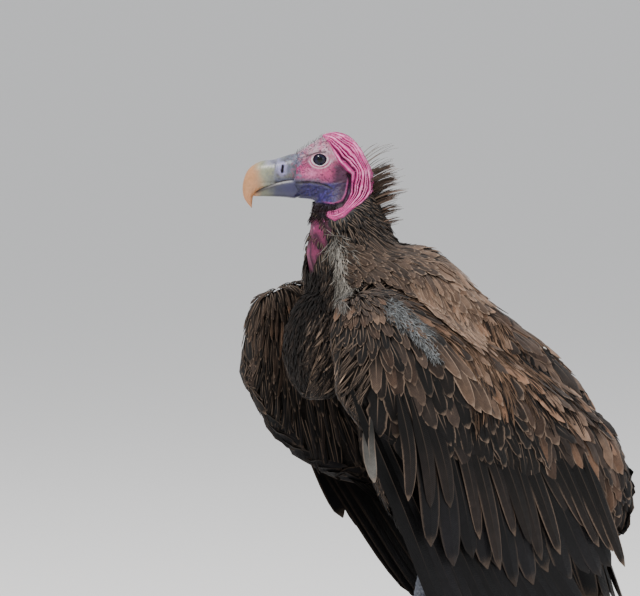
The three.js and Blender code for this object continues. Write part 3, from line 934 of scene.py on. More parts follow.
def upper_bill_points(points):
    """Adds the cere's swollen edge, the nostril and the cutting edge to the swept upper bill."""
    x, f, u = points.T
    side = np.sign(x)
    before = f - cere_edge(u)
    cere = 1 - ease(-1.2, 1.2, before)
    slit = nostril_reach(f, u)
    swell = 0.8 * cere + 0.5 * bump(before + 2.5, 2.0) + bump(slit - 3.4, 1.5)
    swell -= 5.0 * (1 - ease(0.6, 2.1, slit))
    swell += 0.0875 * np.sin(f * 1.35 + u * 0.35) * (1 - cere)
    swell -= 0.72 * bump(u + 33 + 0.05 * (f - 60), 1.6) * (1 - ease(82, 92, f))
    return np.stack([x + side * swell * ease(1, 6, np.abs(x)), f, u + cere * 0.6 * ease(0, 8, u + 12)], 1)


def bill_colour(points, c):
    """Grey-blue cere, and greenish horn that warms to peach down the hook."""
    _, f, u = points.T
    cloud = rough(points, 11, 21)
    spot = rough(points, 3.0, 22)
    horn = mix(c.horn, c.horn_tip, ease(76, 94, f - 0.15 * (u + 22) + 4 * cloud))
    horn = painted(
        horn,
        (c.horn_tip * [1.0, 0.86, 0.8], 0.6 * (1 - ease(-58, -42, u))),
        (c.horn * 1.25, 0.5 * bump(f - 80 - 0.4 * (u + 20), 8)),
        (c.nostril_rim * 0.9, 0.6 * ease(-14, -4, u + 5 * spot) * (1 - ease(70, 82, f + 5 * cloud))),
        (c.cere, 0.55 * ease(-0.05, 0.4, cloud + 0.5 * spot) * (1 - ease(64, 84, f))),
    )
    before = f - cere_edge(u)
    slit = nostril_reach(f, u)
    cere = mix(c.cere, c.horn, 0.5 * ease(-0.1, 0.5, cloud) + 0.3 * ease(-8, 4, u))
    cere = painted(
        cere,
        (c.nostril_rim, 0.9 * (1 - ease(4.5, 8.5, slit))),
        (c.nostril_rim, 0.5 * bump(before + 3, 3.2) * ease(-26, -16, u)),
        # Painted shade inside the nostril.
        (c.bristle_and_shade * 0.3, 1 - ease(1.1, 2.0, slit)),
    )
    colour = mix(cere, horn, ease(-2.2, 2.2, before + 1.5 * spot))
    rear = 1 - ease(36, 52, f + 8 * cloud + 5 * spot)
    colour = painted(
        colour,
        (mix(c.cere * 0.7, c.cere * 1.5, ease(-0.3, 0.4, spot)), 0.9 * rear),
        (c.lores, 0.75 * ease(0.12, 0.4, spot + 0.4 * cloud) * (1 - ease(33, 47, f)) * ease(-30, -22, u)),
        (c.bristle_and_shade * 1.5, 0.6 * ease(0.16, 0.4, spot) * (1 - ease(52, 72, f))),
        (c.bristle_and_shade * 1.5, 0.3 * ease(0.1, 0.4, cloud) * ease(-42, -30, u) * (1 - ease(50, 84, f))),
    )
    return colour


def lower_bill_colour(points, c):
    """Slate sides that warm to horn at the tip, with painted shade along the cutting edge, under the upper
    bill.
    """
    _, f, u = points.T
    cloud = rough(points, 9, 23)
    colour = mix(c.mandible, c.horn * 0.6, ease(60, 82, f + 7 * cloud))
    colour = mix(colour, c.horn_tip * 0.8, ease(80, 92, f + 3 * cloud))
    colour = mix(colour, c.jaw, 0.5 * (1 - ease(40, 62, f + 7 * cloud)))
    # Painted shade along the top edge, where the upper bill overhangs it.
    return mix(colour, c.bristle_and_shade, 0.9 * ease(-6, -1, u + 34 + 0.38 * (f - 60)))


def bill_material():
    """Keratin sheath of a bill: satin horn in thin plates, a little light passing through its edges."""
    shade, gloss, relief = (0.3, 0.7, 0.78, 1.16), (0.24, 0.52), (0.35, 0.5)
    material, shader = keratin("bill_keratin", "markings", (5.0, 7.0, 0.68), shade, gloss, relief)
    feed(shader, {"Subsurface Weight": 0.1, "Subsurface Radius": (1.0, 0.6, 0.35)})
    feed(shader, {"Subsurface Scale": 2.5 * MM})
    return material


def eye_material(c):
    """A wet living eye: near-black iris under a clear, mirror-smooth cornea."""
    material, tree, shader = new_material("wet_eye")
    ring = add_node(tree, "ShaderNodeAttribute", attribute_name="iris").outputs["Fac"]
    place = add_node(tree, "ShaderNodeTexCoord").outputs["Object"]
    pattern = {"Vector": place, "Scale": 1 / (0.8 * MM), "Detail": 4.0}
    fibres = add_node(tree, "ShaderNodeTexNoise", pattern)
    ramp = add_node(tree, "ShaderNodeValToRGB", {"Fac": ring})
    pupil, white = (0.002, 0.002, 0.002), (0.2, 0.18, 0.2)
    stops = ((0.0, pupil), (0.29, pupil), (0.33, c.iris * 0.9), (0.58, c.iris * 0.7), (0.72, c.iris * 0.3),
        (0.85, white))
    for index, (at, colour) in enumerate(stops):
        stop = ramp.color_ramp.elements[index] if index < 2 else ramp.color_ramp.elements.new(at)
        stop.position = at
        stop.color = (*colour, 1)
    colour = scaled_by(tree, ramp, [(fibres, 0, 1, 0.5, 1.6)])
    feed(shader, {"Base Color": colour, "Roughness": 0.06, "IOR": 1.33})
    return material


def make_eye(name, side):
    """An eyeball with a cornea that bulges from it, its pole on the line of sight."""
    bpy.ops.object.select_all(action="DESELECT")
    bpy.ops.mesh.primitive_uv_sphere_add(segments=48, ring_count=32, radius=EYE_RADIUS)
    obj = bpy.context.view_layer.objects.active
    obj.name = name
    p = points_of(obj)
    off = np.hypot(p[:, 0], p[:, 1])
    high = p[:, 2] + 0.55 * np.where(p[:, 2] > 0, bump(off, 6.5), 0)
    local = np.stack([side * (EYE_SPREAD + high), p[:, 0], p[:, 1]], 1)
    placed(obj, from_head(local))
    iris = np.where(p[:, 2] > 0, off / EYE_RADIUS, 1.0)
    set_attribute(obj, "iris", np.stack([iris] * 3, 1))
    return obj


def toe_point(side, angle, distance, high):
    """A point along a toe, in layout millimetres."""
    turn = math.radians(angle)
    return (side * (FOOT_SPREAD + math.sin(turn) * distance), FOOT_BACK - math.cos(turn) * distance, high)


def make_claw(name, side, angle, length, claw):
    """A worn, bluntly hooked talon, flatter beneath."""
    shape = ((0.0, 8, 3.4), (0.12, 8.8, 4.6), (0.28, 9.7, 4.9), (0.48, 9.8, 4.5), (0.66, 8.6, 3.8),
        (0.82, 6.6, 3.0), (0.95, 4.3, 2.1), (1.05, 1.9, 0.9), (1.08, 1.1, 0))
    table = []
    for forward, high, size in shape:
        table.append((*toe_point(side, angle, length * 0.9 + forward * claw, high), size * 0.8, size,
            size * 0.72))
    turn = math.radians(angle)
    obj, points = swept(name, table, 20, 28, 2.0, (-math.cos(turn), -side * math.sin(turn), 0))
    points[:, 2] = np.maximum(points[:, 2], 0.6)
    return placed(obj, laid_out(points))


def claw_material(c):
    """Talon keratin: black-brown horn, satin, with growth lines worn smooth at the tip."""
    shade, gloss, relief = (0, 1, 0.6, 2.4), (0.22, 0.45), (0.3, 0.3)
    return keratin("talon_keratin", tuple(c.claw), (2.0, 6.0, 0.6), shade, gloss, relief)[0]


# ---- feathers: laid over the body's outline, then given their vanes ----

BAKE_PATCH = 0.003  # size of a feather's patch on the OFBake map
BARB_UNIT = 100  # millimetres to one unit of the attribute that places the barbs
SMALL_RING = ((-1, 0), (0, 1), (1, 0))  # a lock of down: across, and height over its flat back
VANE_RING = ((-1, 0), (-0.5, 0.75), (0, 1), (0.5, 0.75), (1, 0), (0, -0.55))
QUILL_RING = ((-1, 0), (-0.55, 0.5), (-0.09, 0.6), (0, 1), (0.09, 0.6), (0.55, 0.5), (1, 0), (0.5, -0.4),
    (0, -0.8), (-0.5, -0.4))


def vectors(x, y, z):
    """Vectors from their three parts, each one number for all or one for each vector."""
    return np.stack(np.broadcast_arrays(x, y, z), 1)


def unit(vectors):
    """The vectors at length 1."""
    return vectors / np.maximum(np.linalg.norm(vectors, axis=-1, keepdims=True), 1e-12)


def keep_outline(skin):
    """Keeps the even skin's triangles, on which roots are scattered and feathers laid."""
    mesh = skin.data
    mesh.calc_loop_triangles()
    corners = mesh_values(mesh.loop_triangles, "vertices", 3, int)
    work["envelope"] = tree_of(skin)
    work["corners"] = points_of(skin)[corners]
    work["turns"] = normals_of(skin)[corners].mean(1)


def scatter(spacing, seed):
    """Roots spread evenly over the outline and their normals, about spacing(points, normals) millimetres
    apart, and none where that is 0."""
    rng = np.random.default_rng(seed)
    a, b, c = work["corners"].transpose(1, 0, 2)
    centres = (a + b + c) / 3
    gap = spacing(layout_of(centres), unit(work["turns"])) * MM
    area = np.linalg.norm(np.cross(b - a, c - a), axis=1) / 2
    share = np.where(gap > 0, area / np.maximum(gap, 1e-6) ** 2, 0)
    count = int(share.sum() * 6)
    if count == 0:
        return np.zeros((0, 3)), np.zeros((0, 3))
    pick = rng.choice(len(area), count, p=share / share.sum())
    r, q = np.sqrt(rng.random(count))[:, None], rng.random(count)[:, None]
    points = a[pick] * (1 - r) + b[pick] * r * (1 - q) + c[pick] * r * q
    reach = gap[pick]
    cell = reach.max()
    cells = np.floor(points / cell).astype(int).tolist()
    steps = [(dx, dy, dz) for dx in (-1, 0, 1) for dy in (-1, 0, 1) for dz in (-1, 0, 1)]
    grid, kept = {}, []
    for i, (key, point, room) in enumerate(zip(cells, points.tolist(), reach.tolist())):
        around = (grid.get((key[0] + dx, key[1] + dy, key[2] + dz), ()) for dx, dy, dz in steps)
        if not any(math.dist(point, other) < room for others in around for other in others):
            grid.setdefault(tuple(key), []).append(point)
            kept.append(i)
    return points[kept], unit(work["turns"])[pick[kept]]


def lay(roots, headings, lengths, offsets, bend=None, free=0.3):
    """Carries each feather's shaft over the outline from its root, in millimetres of length and offset.
    Where the body turns away more sharply than free allows, the feather goes straight on."""
    tree = work["envelope"]
    count, stations = offsets.shape
    shafts, ups = np.empty((count, stations, 3)), np.empty((count, stations, 3))
    for i in range(count):
        spot, up, _, _ = tree.find_nearest(Vector(roots[i]))
        ahead = Vector(headings[i])
        ahead = (ahead - up * ahead.dot(up)).normalized()
        step = lengths[i] * MM / (stations - 1)
        loose = False
        turn = None if bend is None else bend[i] / (stations - 1)
        for j in range(stations):
            if j:
                guess = spot + ahead * step
                if not loose:
                    hit, normal, _, _ = tree.find_nearest(guess)
                    if (hit - guess).length > step * 0.8 or normal.dot(up) < free:
                        loose = True
                    else:
                        moved = hit - spot
                        up = (up + normal * 1.5).normalized()
                        ahead = (moved - up * moved.dot(up)).normalized()
                        guess = hit
                spot = guess
                if turn:
                    ahead = (ahead + up.cross(ahead) * turn).normalized()
            shafts[i, j] = spot + up * (offsets[i, j] * MM)
            ups[i, j] = up
    return shafts, ups


def tucked(shafts, reach):
    """True for feathers whose tip stays within that many millimetres of the outline."""
    return np.array([work["envelope"].find_nearest(Vector(tip))[3] < reach * MM for tip in shafts[:, -1]],
        bool)


class Plumage:
    """Feathers gathered for one piece: their points, faces, markings and bake patches."""

    def __init__(self, ring=VANE_RING):
        self.ring = np.array(ring, float)
        self.batches = []

    def add(self, shafts, ups, width, gauge, tint, taper=0.4, margin=0.0, roll=0.0, camber=0.12, seed=0,
            reach=None):
        """Adds a batch of feathers with that half width at each station, and a gauge that tapers to the tip,
        both in millimetres. With a reach, only those whose tip stays that near the outline are kept."""
        count, stations = shafts.shape[:2]
        tone = np.random.default_rng(seed + 1000).random(count)
        ups, width = np.broadcast_to(ups, shafts.shape), np.broadcast_to(width, (count, stations))
        thick = np.broadcast_to(gauge * np.linspace(1, taper, stations), (count, stations))
        margin, roll = np.broadcast_to(margin, count), np.broadcast_to(roll, count)
        tint = np.broadcast_to(tint, (count, 3))
        if reach is not None:
            keep = tucked(shafts, reach)
            shafts, ups, width, thick = shafts[keep], ups[keep], width[keep], thick[keep]
            margin, roll, tint, tone = margin[keep], roll[keep], tint[keep], tone[keep]
        if len(shafts) == 0:
            return
        ahead = unit(np.gradient(shafts, axis=1))
        side = unit(np.cross(ups, ahead))
        over = np.cross(ahead, side)
        angle = roll[:, None, None]
        side, over = side * np.cos(angle) + over * np.sin(angle), over * np.cos(angle) - side * np.sin(angle)
        across, high = self.ring[:, 0], self.ring[:, 1]
        wide = width[:, :, None] * across
        tall = thick[:, :, None] * high - camber * width[:, :, None] * across**2
        points = (
            shafts[:, :, None] + MM
            * (side[:, :, None] * wide[..., None] + over[:, :, None] * tall[..., None])
        )
        along = np.linspace(0, 1, stations)
        length = np.linalg.norm(np.diff(shafts, axis=1), axis=2).sum(1) / MM
        shape = points.shape[:3]

        def spread(values):
            return np.broadcast_to(values, shape)

        tone, margin = tone[:, None, None], margin[:, None, None]
        place = [spread(across * 0.5 + 0.5), spread(along[:, None])]
        vane = np.stack([*place, spread(tone), spread(margin)], -1)
        down_shaft = (along * length[:, None])[:, :, None] / BARB_UNIT
        barb = np.stack([spread(down_shaft), wide / BARB_UNIT, spread(tone * 7 % 1)], -1)
        colour = np.broadcast_to(tint[:, None, None], (*shape, 3))
        patch = self.root_uv(shafts[:, 0])[:, None, None] + BAKE_PATCH * (np.stack(place, -1) - 0.5)
        self.batches.append((points, vane, barb, colour, patch))

    @staticmethod
    def root_uv(roots):
        """Where on the unwrapped skin each feather is rooted."""
        faces = [work["faces"].find_nearest(Vector(root))[2] for root in roots]
        return work["root_uv"][faces]

    def piece(self, name):
        """Makes one mesh of all the feathers."""
        k = len(self.ring)
        all_faces, start = [], 0
        for points, *_ in self.batches:
            count, stations = points.shape[:2]
            ring = np.arange(k)
            one = []
            for j in range(stations - 1):
                low, high = j * k + ring, (j + 1) * k + ring
                low_next, high_next = np.roll(low, -1), np.roll(high, -1)
                one += [np.stack([low, high, high_next], 1), np.stack([low, high_next, low_next], 1)]
            fan = np.arange(1, k - 1)
            last = (stations - 1) * k
            one += [np.stack([np.zeros_like(fan), fan, fan + 1], 1),
                np.stack([np.full_like(fan, last), last + fan + 1, last + fan], 1)]
            one = np.concatenate(one)
            each = np.arange(count)[:, None, None] * (stations * k) + start
            all_faces.append((one[None] + each).reshape(-1, 3))
            start += count * stations * k
        flat = [np.concatenate([batch[i].reshape(-1, batch[i].shape[-1]) for batch in self.batches])
            for i in range(5)]
        obj = mesh_object(name, flat[0], np.concatenate(all_faces))
        for label, values in (("vane", flat[1]), ("barb", flat[2]), ("tint", flat[3])):
            set_attribute(obj, label, values)
        layer = obj.data.uv_layers.new(name="OFBake")
        corners = mesh_values(obj.data.loops, "vertex_index", 1, int)[:, 0]
        layer.data.foreach_set("uv", np.clip(flat[4], 0.002, 0.998)[corners].ravel())
        activate(obj)
        bpy.ops.object.shade_smooth_by_angle(angle=math.radians(50))
        return obj


def outline_width(stations, root=0.35, full=0.4, blunt=0.8, tip=0.12):
    """A vane's width along its length, from 0 to 1: widest from full to blunt, then rounded to its tip."""
    t = np.linspace(0, 1, stations)
    w = root + (1 - root) * ease(0, full, t)
    end = np.clip((t - blunt) / (1 - blunt), 0, 1)
    return w * np.maximum(np.sqrt(np.maximum(1 - end**2, 0)), tip)


def feather_material(name, c, shaft, barb_rows, dull, specular, sheen=0.0):
    """Feather keratin: matt barbs in slanting rows either side of a paler shaft, worn pale at the edge.
    Real barbs stand about 0.5 mm apart. Their rows are drawn several times coarser, so that they show."""
    material, tree, shader = new_material(name)
    labels = ("vane", "barb", "tint")
    vane, barb, tint = (add_node(tree, "ShaderNodeAttribute", attribute_name=label) for label in labels)
    place = add_node(tree, "ShaderNodeTexCoord").outputs["Object"]
    across, along, tone = add_node(tree, "ShaderNodeSeparateColor", {0: vane}).outputs[:3]
    far_along, far_across, _ = add_node(tree, "ShaderNodeSeparateColor", {0: barb}).outputs[:3]
    pattern = {"Vector": place, "Scale": 1 / (16 * MM), "Detail": 5.0, "Roughness": 0.65}
    mottle = add_node(tree, "ShaderNodeTexNoise", pattern)
    pattern = {"Vector": place, "Scale": 1 / (3.0 * MM), "Detail": 4.0, "Roughness": 0.7}
    fine = add_node(tree, "ShaderNodeTexNoise", pattern)
    off_shaft = add_node(tree, "ShaderNodeMath", {0: far_across}, operation="ABSOLUTE")
    slant = add_node(tree, "ShaderNodeMath", {0: off_shaft, 1: -0.8, 2: far_along}, operation="MULTIPLY_ADD")
    turns = 2 * math.pi * BARB_UNIT / barb_rows
    rows = add_node(tree, "ShaderNodeMath", {0: slant, 1: turns}, operation="MULTIPLY")
    uneven = add_node(tree, "ShaderNodeMath", {0: fine, 1: 5.0, 2: rows}, operation="MULTIPLY_ADD")
    wave = add_node(tree, "ShaderNodeMath", {0: uneven}, operation="SINE")
    centred = add_node(tree, "ShaderNodeMath", {0: across, 1: 2.0, 2: -1.0}, operation="MULTIPLY_ADD")
    edge = add_node(tree, "ShaderNodeMath", {0: centred}, operation="ABSOLUTE")
    ragged = add_node(tree, "ShaderNodeMath", {0: fine, 1: 0.35, 2: edge}, operation="MULTIPLY_ADD")
    frayed = add_node(tree, "ShaderNodeMath", {0: fine, 1: 0.12, 2: along}, operation="MULTIPLY_ADD")
    spans = ((ragged, 0.915, 1.155), (frayed, 0.96, 1.05), (along, 0.25, 0.6),
        (off_shaft, 0.004, 0.009, 1, 0), (along, 0.35, 0.85, shaft, 0), (fine, 0.2, 0.8, *dull))
    sides, tip, free, near_shaft, rooted, gloss = (add_node(tree, "ShaderNodeMapRange",
        dict(zip(RANGE, span)), interpolation_type="SMOOTHSTEP") for span in spans )
    worn = add_node(tree, "ShaderNodeMath", {0: sides, 1: tip}, operation="MAXIMUM")
    margin = add_node(tree, "ShaderNodeMath", {0: vane.outputs["Alpha"], 1: free}, operation="MULTIPLY")
    rim = add_node(tree, "ShaderNodeMath", {0: worn, 1: margin}, operation="MULTIPLY")
    quill = add_node(tree, "ShaderNodeMath", {0: near_shaft, 1: rooted}, operation="MULTIPLY")
    # The last level darkens each feather toward its root: painted shade where it lies under the feather
    # before it.
    levels = [(mottle, 0.3, 0.7, 0.72, 1.25), (wave, -1, 1, 0.72, 1.15), (tone, 0, 1, 0.7, 1.3),
        (along, 0.25, 0.85, 0.22, 1.2)]
    colour = scaled_by(tree, tint, levels, "SMOOTHSTEP")
    colour = layered(tree, colour, [(rim, c.feather_edge), (quill, c.feather_edge * 0.75)])
    height = add_node(tree, "ShaderNodeMath", {0: fine, 1: 1.6, 2: wave}, operation="MULTIPLY_ADD")
    relief = add_node(tree, "ShaderNodeBump", {"Height": height, "Strength": 0.5, "Distance": 0.175 * MM})
    feed(shader, {"Base Color": colour, "Roughness": gloss, "Normal": relief, "IOR": 1.54})
    feed(shader, {"Specular IOR Level": specular, "Sheen Weight": sheen, "Sheen Roughness": 0.5})
    return material


def down_material(name, sheen=0.25):
    """Down: loose matt barbs that scatter light softly, with darker roots."""
    material, tree, shader = new_material(name)
    vane = add_node(tree, "ShaderNodeAttribute", attribute_name="vane")
    tint = add_node(tree, "ShaderNodeAttribute", attribute_name="tint")
    place = add_node(tree, "ShaderNodeTexCoord").outputs["Object"]
    _, along, tone = add_node(tree, "ShaderNodeSeparateColor", {0: vane}).outputs[:3]
    clumps = add_node(tree, "ShaderNodeTexNoise", {"Vector": place, "Scale": 1 / (9 * MM), "Detail": 4.0})
    levels = [(along, 0, 1, 0.45, 1.15), (clumps, 0.3, 0.7, 0.75, 1.2), (tone, 0, 1, 0.75, 1.25)]
    feed(shader, {"Base Color": scaled_by(tree, tint, levels), "Roughness": 0.85})
    feed(shader, {"Specular IOR Level": 0.1, "Sheen Weight": sheen, "Sheen Roughness": 0.6})
    return material


def scale_material():
    """Leg scales: hard keratin plates, satin where worn, dull and darker in between."""
    shade, gloss, relief = (0.3, 0.7, 0.7, 1.2), (0.4, 0.65), (0.4, 0.3)
    material, shader = keratin("leg_keratin", "tint", (2.5, 5.0, 0.65), shade, gloss, relief)
    feed(shader, {"IOR": 1.5})
    return material


# ---- tracts: where each kind of feather grows and which way it lies ----

# Along the body (Y), the wing's middle: Y, X, Z, half thickness, height above, height below
WING_LINE = np.array([(-45, 112, 500, 6, 30, 20), (-30, 114, 500, 14, 55, 45), (16, 136, 488, 31, 98, 90),
    (72, 146, 468, 31, 98, 130), (150, 148, 440, 29, 92, 152), (240, 142, 400, 26, 84, 140),
    (322, 128, 360, 22, 82, 118), (400, 112, 306, 15, 84, 92), (446, 98, 244, 9, 62, 62),
    (466, 92, 200, 4, 20, 20)], float)
# Lines seen from the front quarter: distance along that view, and height
BACK_LINE = np.array([(60, 655), (110, 640), (166, 608), (223, 576), (265, 552), (307, 515), (350, 473),
    (385, 421), (413, 378), (431, 329), (437, 244)], float)
BACK_SLOPE = (56, 58, 60, 60, 54, 50, 44, 36, 28, 16, 6)  # degrees from straight down, at the same places
SHOULDER_EDGE = ((62, 575), (75, 577), (103, 566), (138, 543), (166, 512), (190, 484), (214, 462))
MANTLE_EDGE = ((124, 577), (161, 563), (193, 535), (217, 532), (254, 523), (292, 488), (345, 450))
DOWN_PATCH = ((110, 549), (136, 528), (158, 504), (170, 488))
QUARTER = (0.545, 0.839)


def quarter(p):
    """How far along the front-quarter view each layout point is, the same for both sides."""
    return QUARTER[0] * np.abs(p[:, 0]) + QUARTER[1] * p[:, 1]


def on_wing(p):
    """True on the folded wings."""
    y = p[:, 1]
    x, z, thick, above, below = (np.interp(y, WING_LINE[:, 0], WING_LINE[:, k]) for k in range(1, 6))
    near = np.abs(np.abs(p[:, 0]) - x) < thick + 10
    return near & (y > -52) & (y < 472) & (p[:, 2] < z + above + 8) & (p[:, 2] > z - below - 50)


def under_back(p):
    """How far each point lies below the line of the back."""
    return np.interp(quarter(p), BACK_LINE[:, 0], BACK_LINE[:, 1]) - p[:, 2]


def lie(p):
    """The way feathers point at each layout point: down the wing, and along the back near its top."""
    s, z = quarter(p), p[:, 2]
    fan = 0.75 * np.arctan2(s - 75, np.maximum(640 - z, 20))
    slope = np.radians(np.interp(s, BACK_LINE[:, 0], BACK_SLOPE))
    k = 1 - ease(40, 105, under_back(p))
    angle = slope * k + fan * (1 - k)
    angle = np.where(s < 60, np.minimum(angle, np.radians(20)), angle)
    return vectors(0, np.sin(angle), -np.cos(angle))


def line_side(p, line):
    """Distance from a front-quarter line, above 0 toward the back."""
    distance, turn, _ = line_distance(quarter(p), p[:, 2], line)
    return distance * turn


def bare_head(p):
    """True where no body feather grows: the head, the bare foreneck, shanks and toes."""
    points = laid_out(p)
    leg = (p[:, 2] < 176) & (np.abs(np.abs(p[:, 0]) - FOOT_SPREAD) < 60) & (p[:, 1] < 330)
    return (head_weight(points) > 0.35) | (neck_bare(points) > 0.4) | leg


def is_neck(p):
    """True round the neck."""
    return (p[:, 2] > 622) & (np.abs(p[:, 0]) < 84) & (p[:, 1] < 175)


def is_breast(p, n):
    """The crop and breast between the wings' front edges."""
    return ~on_wing(p) & (p[:, 2] <= 622) & ((n[:, 1] < 0.35) | (p[:, 1] < 70)) & (p[:, 1] < 150)


def white_at_neck(p):
    """1 in the middle of the white down at the base of the neck, 0 outside it."""
    z = p[:, 2]
    middle = 48 - 13 * ease(600, 640, z) - 7 * (1 - ease(552, 582, z))
    reach = np.hypot((quarter(p) - middle) / 15, (z - 604) / 50)
    return (1 - ease(0.25, 1.05, reach + 0.25 * rough(p, 16, 127))) * (p[:, 1] < 95) * ease(-22, -8, p[:, 0])


def is_down_patch(p, n):
    """True where white down shows between the shoulder feathers."""
    distance, _, _ = line_distance(quarter(p), p[:, 2], DOWN_PATCH)
    return on_wing(p) & (distance < 12) & (n[:, 0] * np.sign(p[:, 0]) > 0)


def is_leg(p):
    """Thighs and belly under the wings."""
    return ~on_wing(p) & (p[:, 2] < 500) & (p[:, 1] >= 60)


def brown(p, rng, c, dark=0.0):
    """One brown for each feather: darker low down, darker in front by the neck as painted shade, worn paler
    on the back.
    """
    s, z, below = quarter(p), p[:, 2], under_back(p)
    pale = 0.24 + 0.45 * rough(p, 60, 31) + 1.05 * (rng.random(len(p)) - 0.5)
    pale = pale - 0.55 * ease(70, 230, below) + 0.25 * ease(120, 200, s) * (1 - ease(60, 150, below))
    # Painted shade in front by the neck, where the back meets it.
    pale = pale - 0.95 * (1 - ease(95, 160, s)) * ease(560, 590, z)
    colour = mix(c.feather_dark, c.feather, ease(-0.15, 0.4, pale - dark))
    colour = mix(colour, c.feather_pale, 0.85 * ease(0.35, 1.0, pale - dark))
    warm = np.array([1.12, 0.97, 0.85])
    return colour * np.where(rng.random(len(p))[:, None] < 0.4, warm, 1.0)


def rising(count, stations, low, high, rng, spread=0.6):
    """Offsets from the outline, from the buried root to the tip, a little different for each feather."""
    t = np.linspace(0, 1, stations) ** 0.6
    return low + (high - low) * t[None] + (rng.random(count)[:, None] - 0.5) * spread * 2 * t[None]


def make_wing_coverts(name, side, sizes, c):
    """Small scales at the wrist that grow down the wing into long rounded coverts."""
    rng = np.random.default_rng(11 if side > 0 else 12)

    def size_at(p, n):
        s, z = quarter(p), p[:, 2]
        size = ease(5, 150, np.hypot(s - 62, z - 578))
        inner = n[:, 0] * side < -0.2
        return np.where(inner, np.minimum(size, 0.28 + 0.4 * ease(-10, 70, p[:, 1])), size)

    def spacing(p, n):
        edge = line_side(p, SHOULDER_EDGE)
        covered = on_wing(p) & (p[:, 0] * side > 0) & ~is_neck(p) & ~bare_head(p) & (n[:, 2] > -0.45)
        covered &= ((edge < 10) & (quarter(p) < 235)) | (n[:, 0] * side < 0.1) & (p[:, 1] < 120)
        return np.where(covered, 4.8 + 11.0 * size_at(p, n), 0)

    roots, ups = scatter(spacing, 21)
    p = layout_of(roots)
    size = size_at(p, ups)
    inner = (ups[:, 0] * side < 0.1).astype(float)
    # Lower front coverts turn black: fully on the far wing, but on the near one fully only at its front and
    # inner edges. The far wing's extra black is painted shade.
    edge = np.maximum(inner, 1 - ease(-8, 24, p[:, 1]))
    far = 1.0 if side < 0 else 0.45 + 0.55 * edge
    black = far * (1 - ease(410, 480, p[:, 2])) * (1 - ease(90, 170, p[:, 1]))
    coat = Plumage(VANE_RING)
    heading = lie(p) + (0.08 + 0.05 * inner[:, None]) * rng.normal(size=p.shape)
    # Longer feathers get more stations
    for low, high, stations in ((0, 0.33, 7), (0.33, 0.7, 9), (0.7, 2, 11)):
        pick = (size >= low) & (size < high)
        k, count = size[pick], int(pick.sum())
        if not count:
            continue
        length = (18 + 68 * k + 34 * black[pick] + 12 * inner[pick]) * (0.8 + 0.4 * rng.random(count))
        shafts, up = lay(roots[pick], heading[pick], length, rising(count, stations, -5.5, 1.6, rng, 0.9),
            bend=rng.normal(size=count) * 0.12)
        half = (
            (3.2 + 10.2 * k) * (0.8 + 0.4 * rng.random(count)) * (1 - 0.35 * inner[pick])
            * (1 - 0.35 * black[pick] * (side < 0))
        )
        blunt = outline_width(stations, 0.4, 0.35, 0.5, 0.1)
        width = half[:, None] * blunt * (1 + 0.07 * rng.normal(size=(count, stations)))
        gauge = sizes.feather_gauge / MM * (0.5 + 0.4 * k)[:, None]
        tint = mix(brown(p[pick], rng, c, 0.02), c.quill * 1.3, 0.9 * black[pick])
        margin = (0.15 + 0.5 * rng.random(count)) * (1 - 0.75 * black[pick]) * (1 - 0.3 * inner[pick])
        roll = rng.normal(size=count) * 0.1 + side * 0.06
        coat.add(shafts, up, width, gauge, tint, taper=0.5, margin=margin, roll=roll, seed=31, reach=8)
    return coat


def make_mantle(c, sizes):
    """Overlapping feathers over the back, shoulders and folded wings, longer toward the tail."""
    rng = np.random.default_rng(41)

    def spacing(p, n):
        edge = line_side(p, SHOULDER_EDGE)
        outer = n[:, 0] * np.sign(p[:, 0]) > -0.25
        back = (
            ~is_breast(p, n) & ~is_neck(p) & ~bare_head(p) & outer & ((edge > 6) | (quarter(p) >= 235))
            & (p[:, 2] > 185)
        )
        back &= on_wing(p) | (n[:, 2] > -0.2)
        back &= (quarter(p) > 62) & (white_at_neck(p) < 0.1) | (p[:, 2] < 560)
        back &= ~(is_leg(p) & (n[:, 2] < 0.1) & ~on_wing(p) & (under_back(p) > 120))
        return np.where(back, 8.0 + 6.5 * ease(120, 300, quarter(p)), 0)

    roots, _ = scatter(spacing, 42)
    p = layout_of(roots)
    count = len(p)
    grow = ease(60, 330, quarter(p))
    stations = 10
    heading = lie(p) + 0.1 * rng.normal(size=p.shape)
    length = (36 + 54 * grow) * (0.75 + 0.5 * rng.random(count)) * (1 - 0.45 * ease(385, 445, quarter(p)))
    shafts, up = lay(roots, heading, length, rising(count, stations, -6, 3.4, rng, 2.4),
        bend=rng.normal(size=count) * 0.14, free=0.1)
    half = (4.6 + 6.0 * grow) * (0.75 + 0.5 * rng.random(count))
    width = (
        half[:, None] * outline_width(stations, 0.35, 0.4, 0.58, 0.1)
        * (1 + 0.13 * rng.normal(size=(count, stations)))
    )
    tint = brown(p, rng, c)
    tip_of = layout_of(shafts[:, -1])
    black = (
        ease(250, 330, under_back(tip_of)) + ease(405, 450, quarter(tip_of))
        * (1 - ease(300, 380, p[:, 2]))
    )
    tint = mix(tint, c.quill * 1.4, 0.85 * np.clip(black, 0, 1))
    tint[np.hypot(quarter(p) - 278, p[:, 2] - 545 - 400 * (p[:, 0] < 0)).argmin()] = c.white_down * 2.5
    coat = Plumage(VANE_RING)
    coat.add(shafts, up, width, sizes.feather_gauge / MM, tint, taper=0.5, margin=0.1 + 0.6
        * rng.random(count) ** 1.5, roll=rng.normal(size=count) * 0.16, seed=43, reach=11)
    return coat


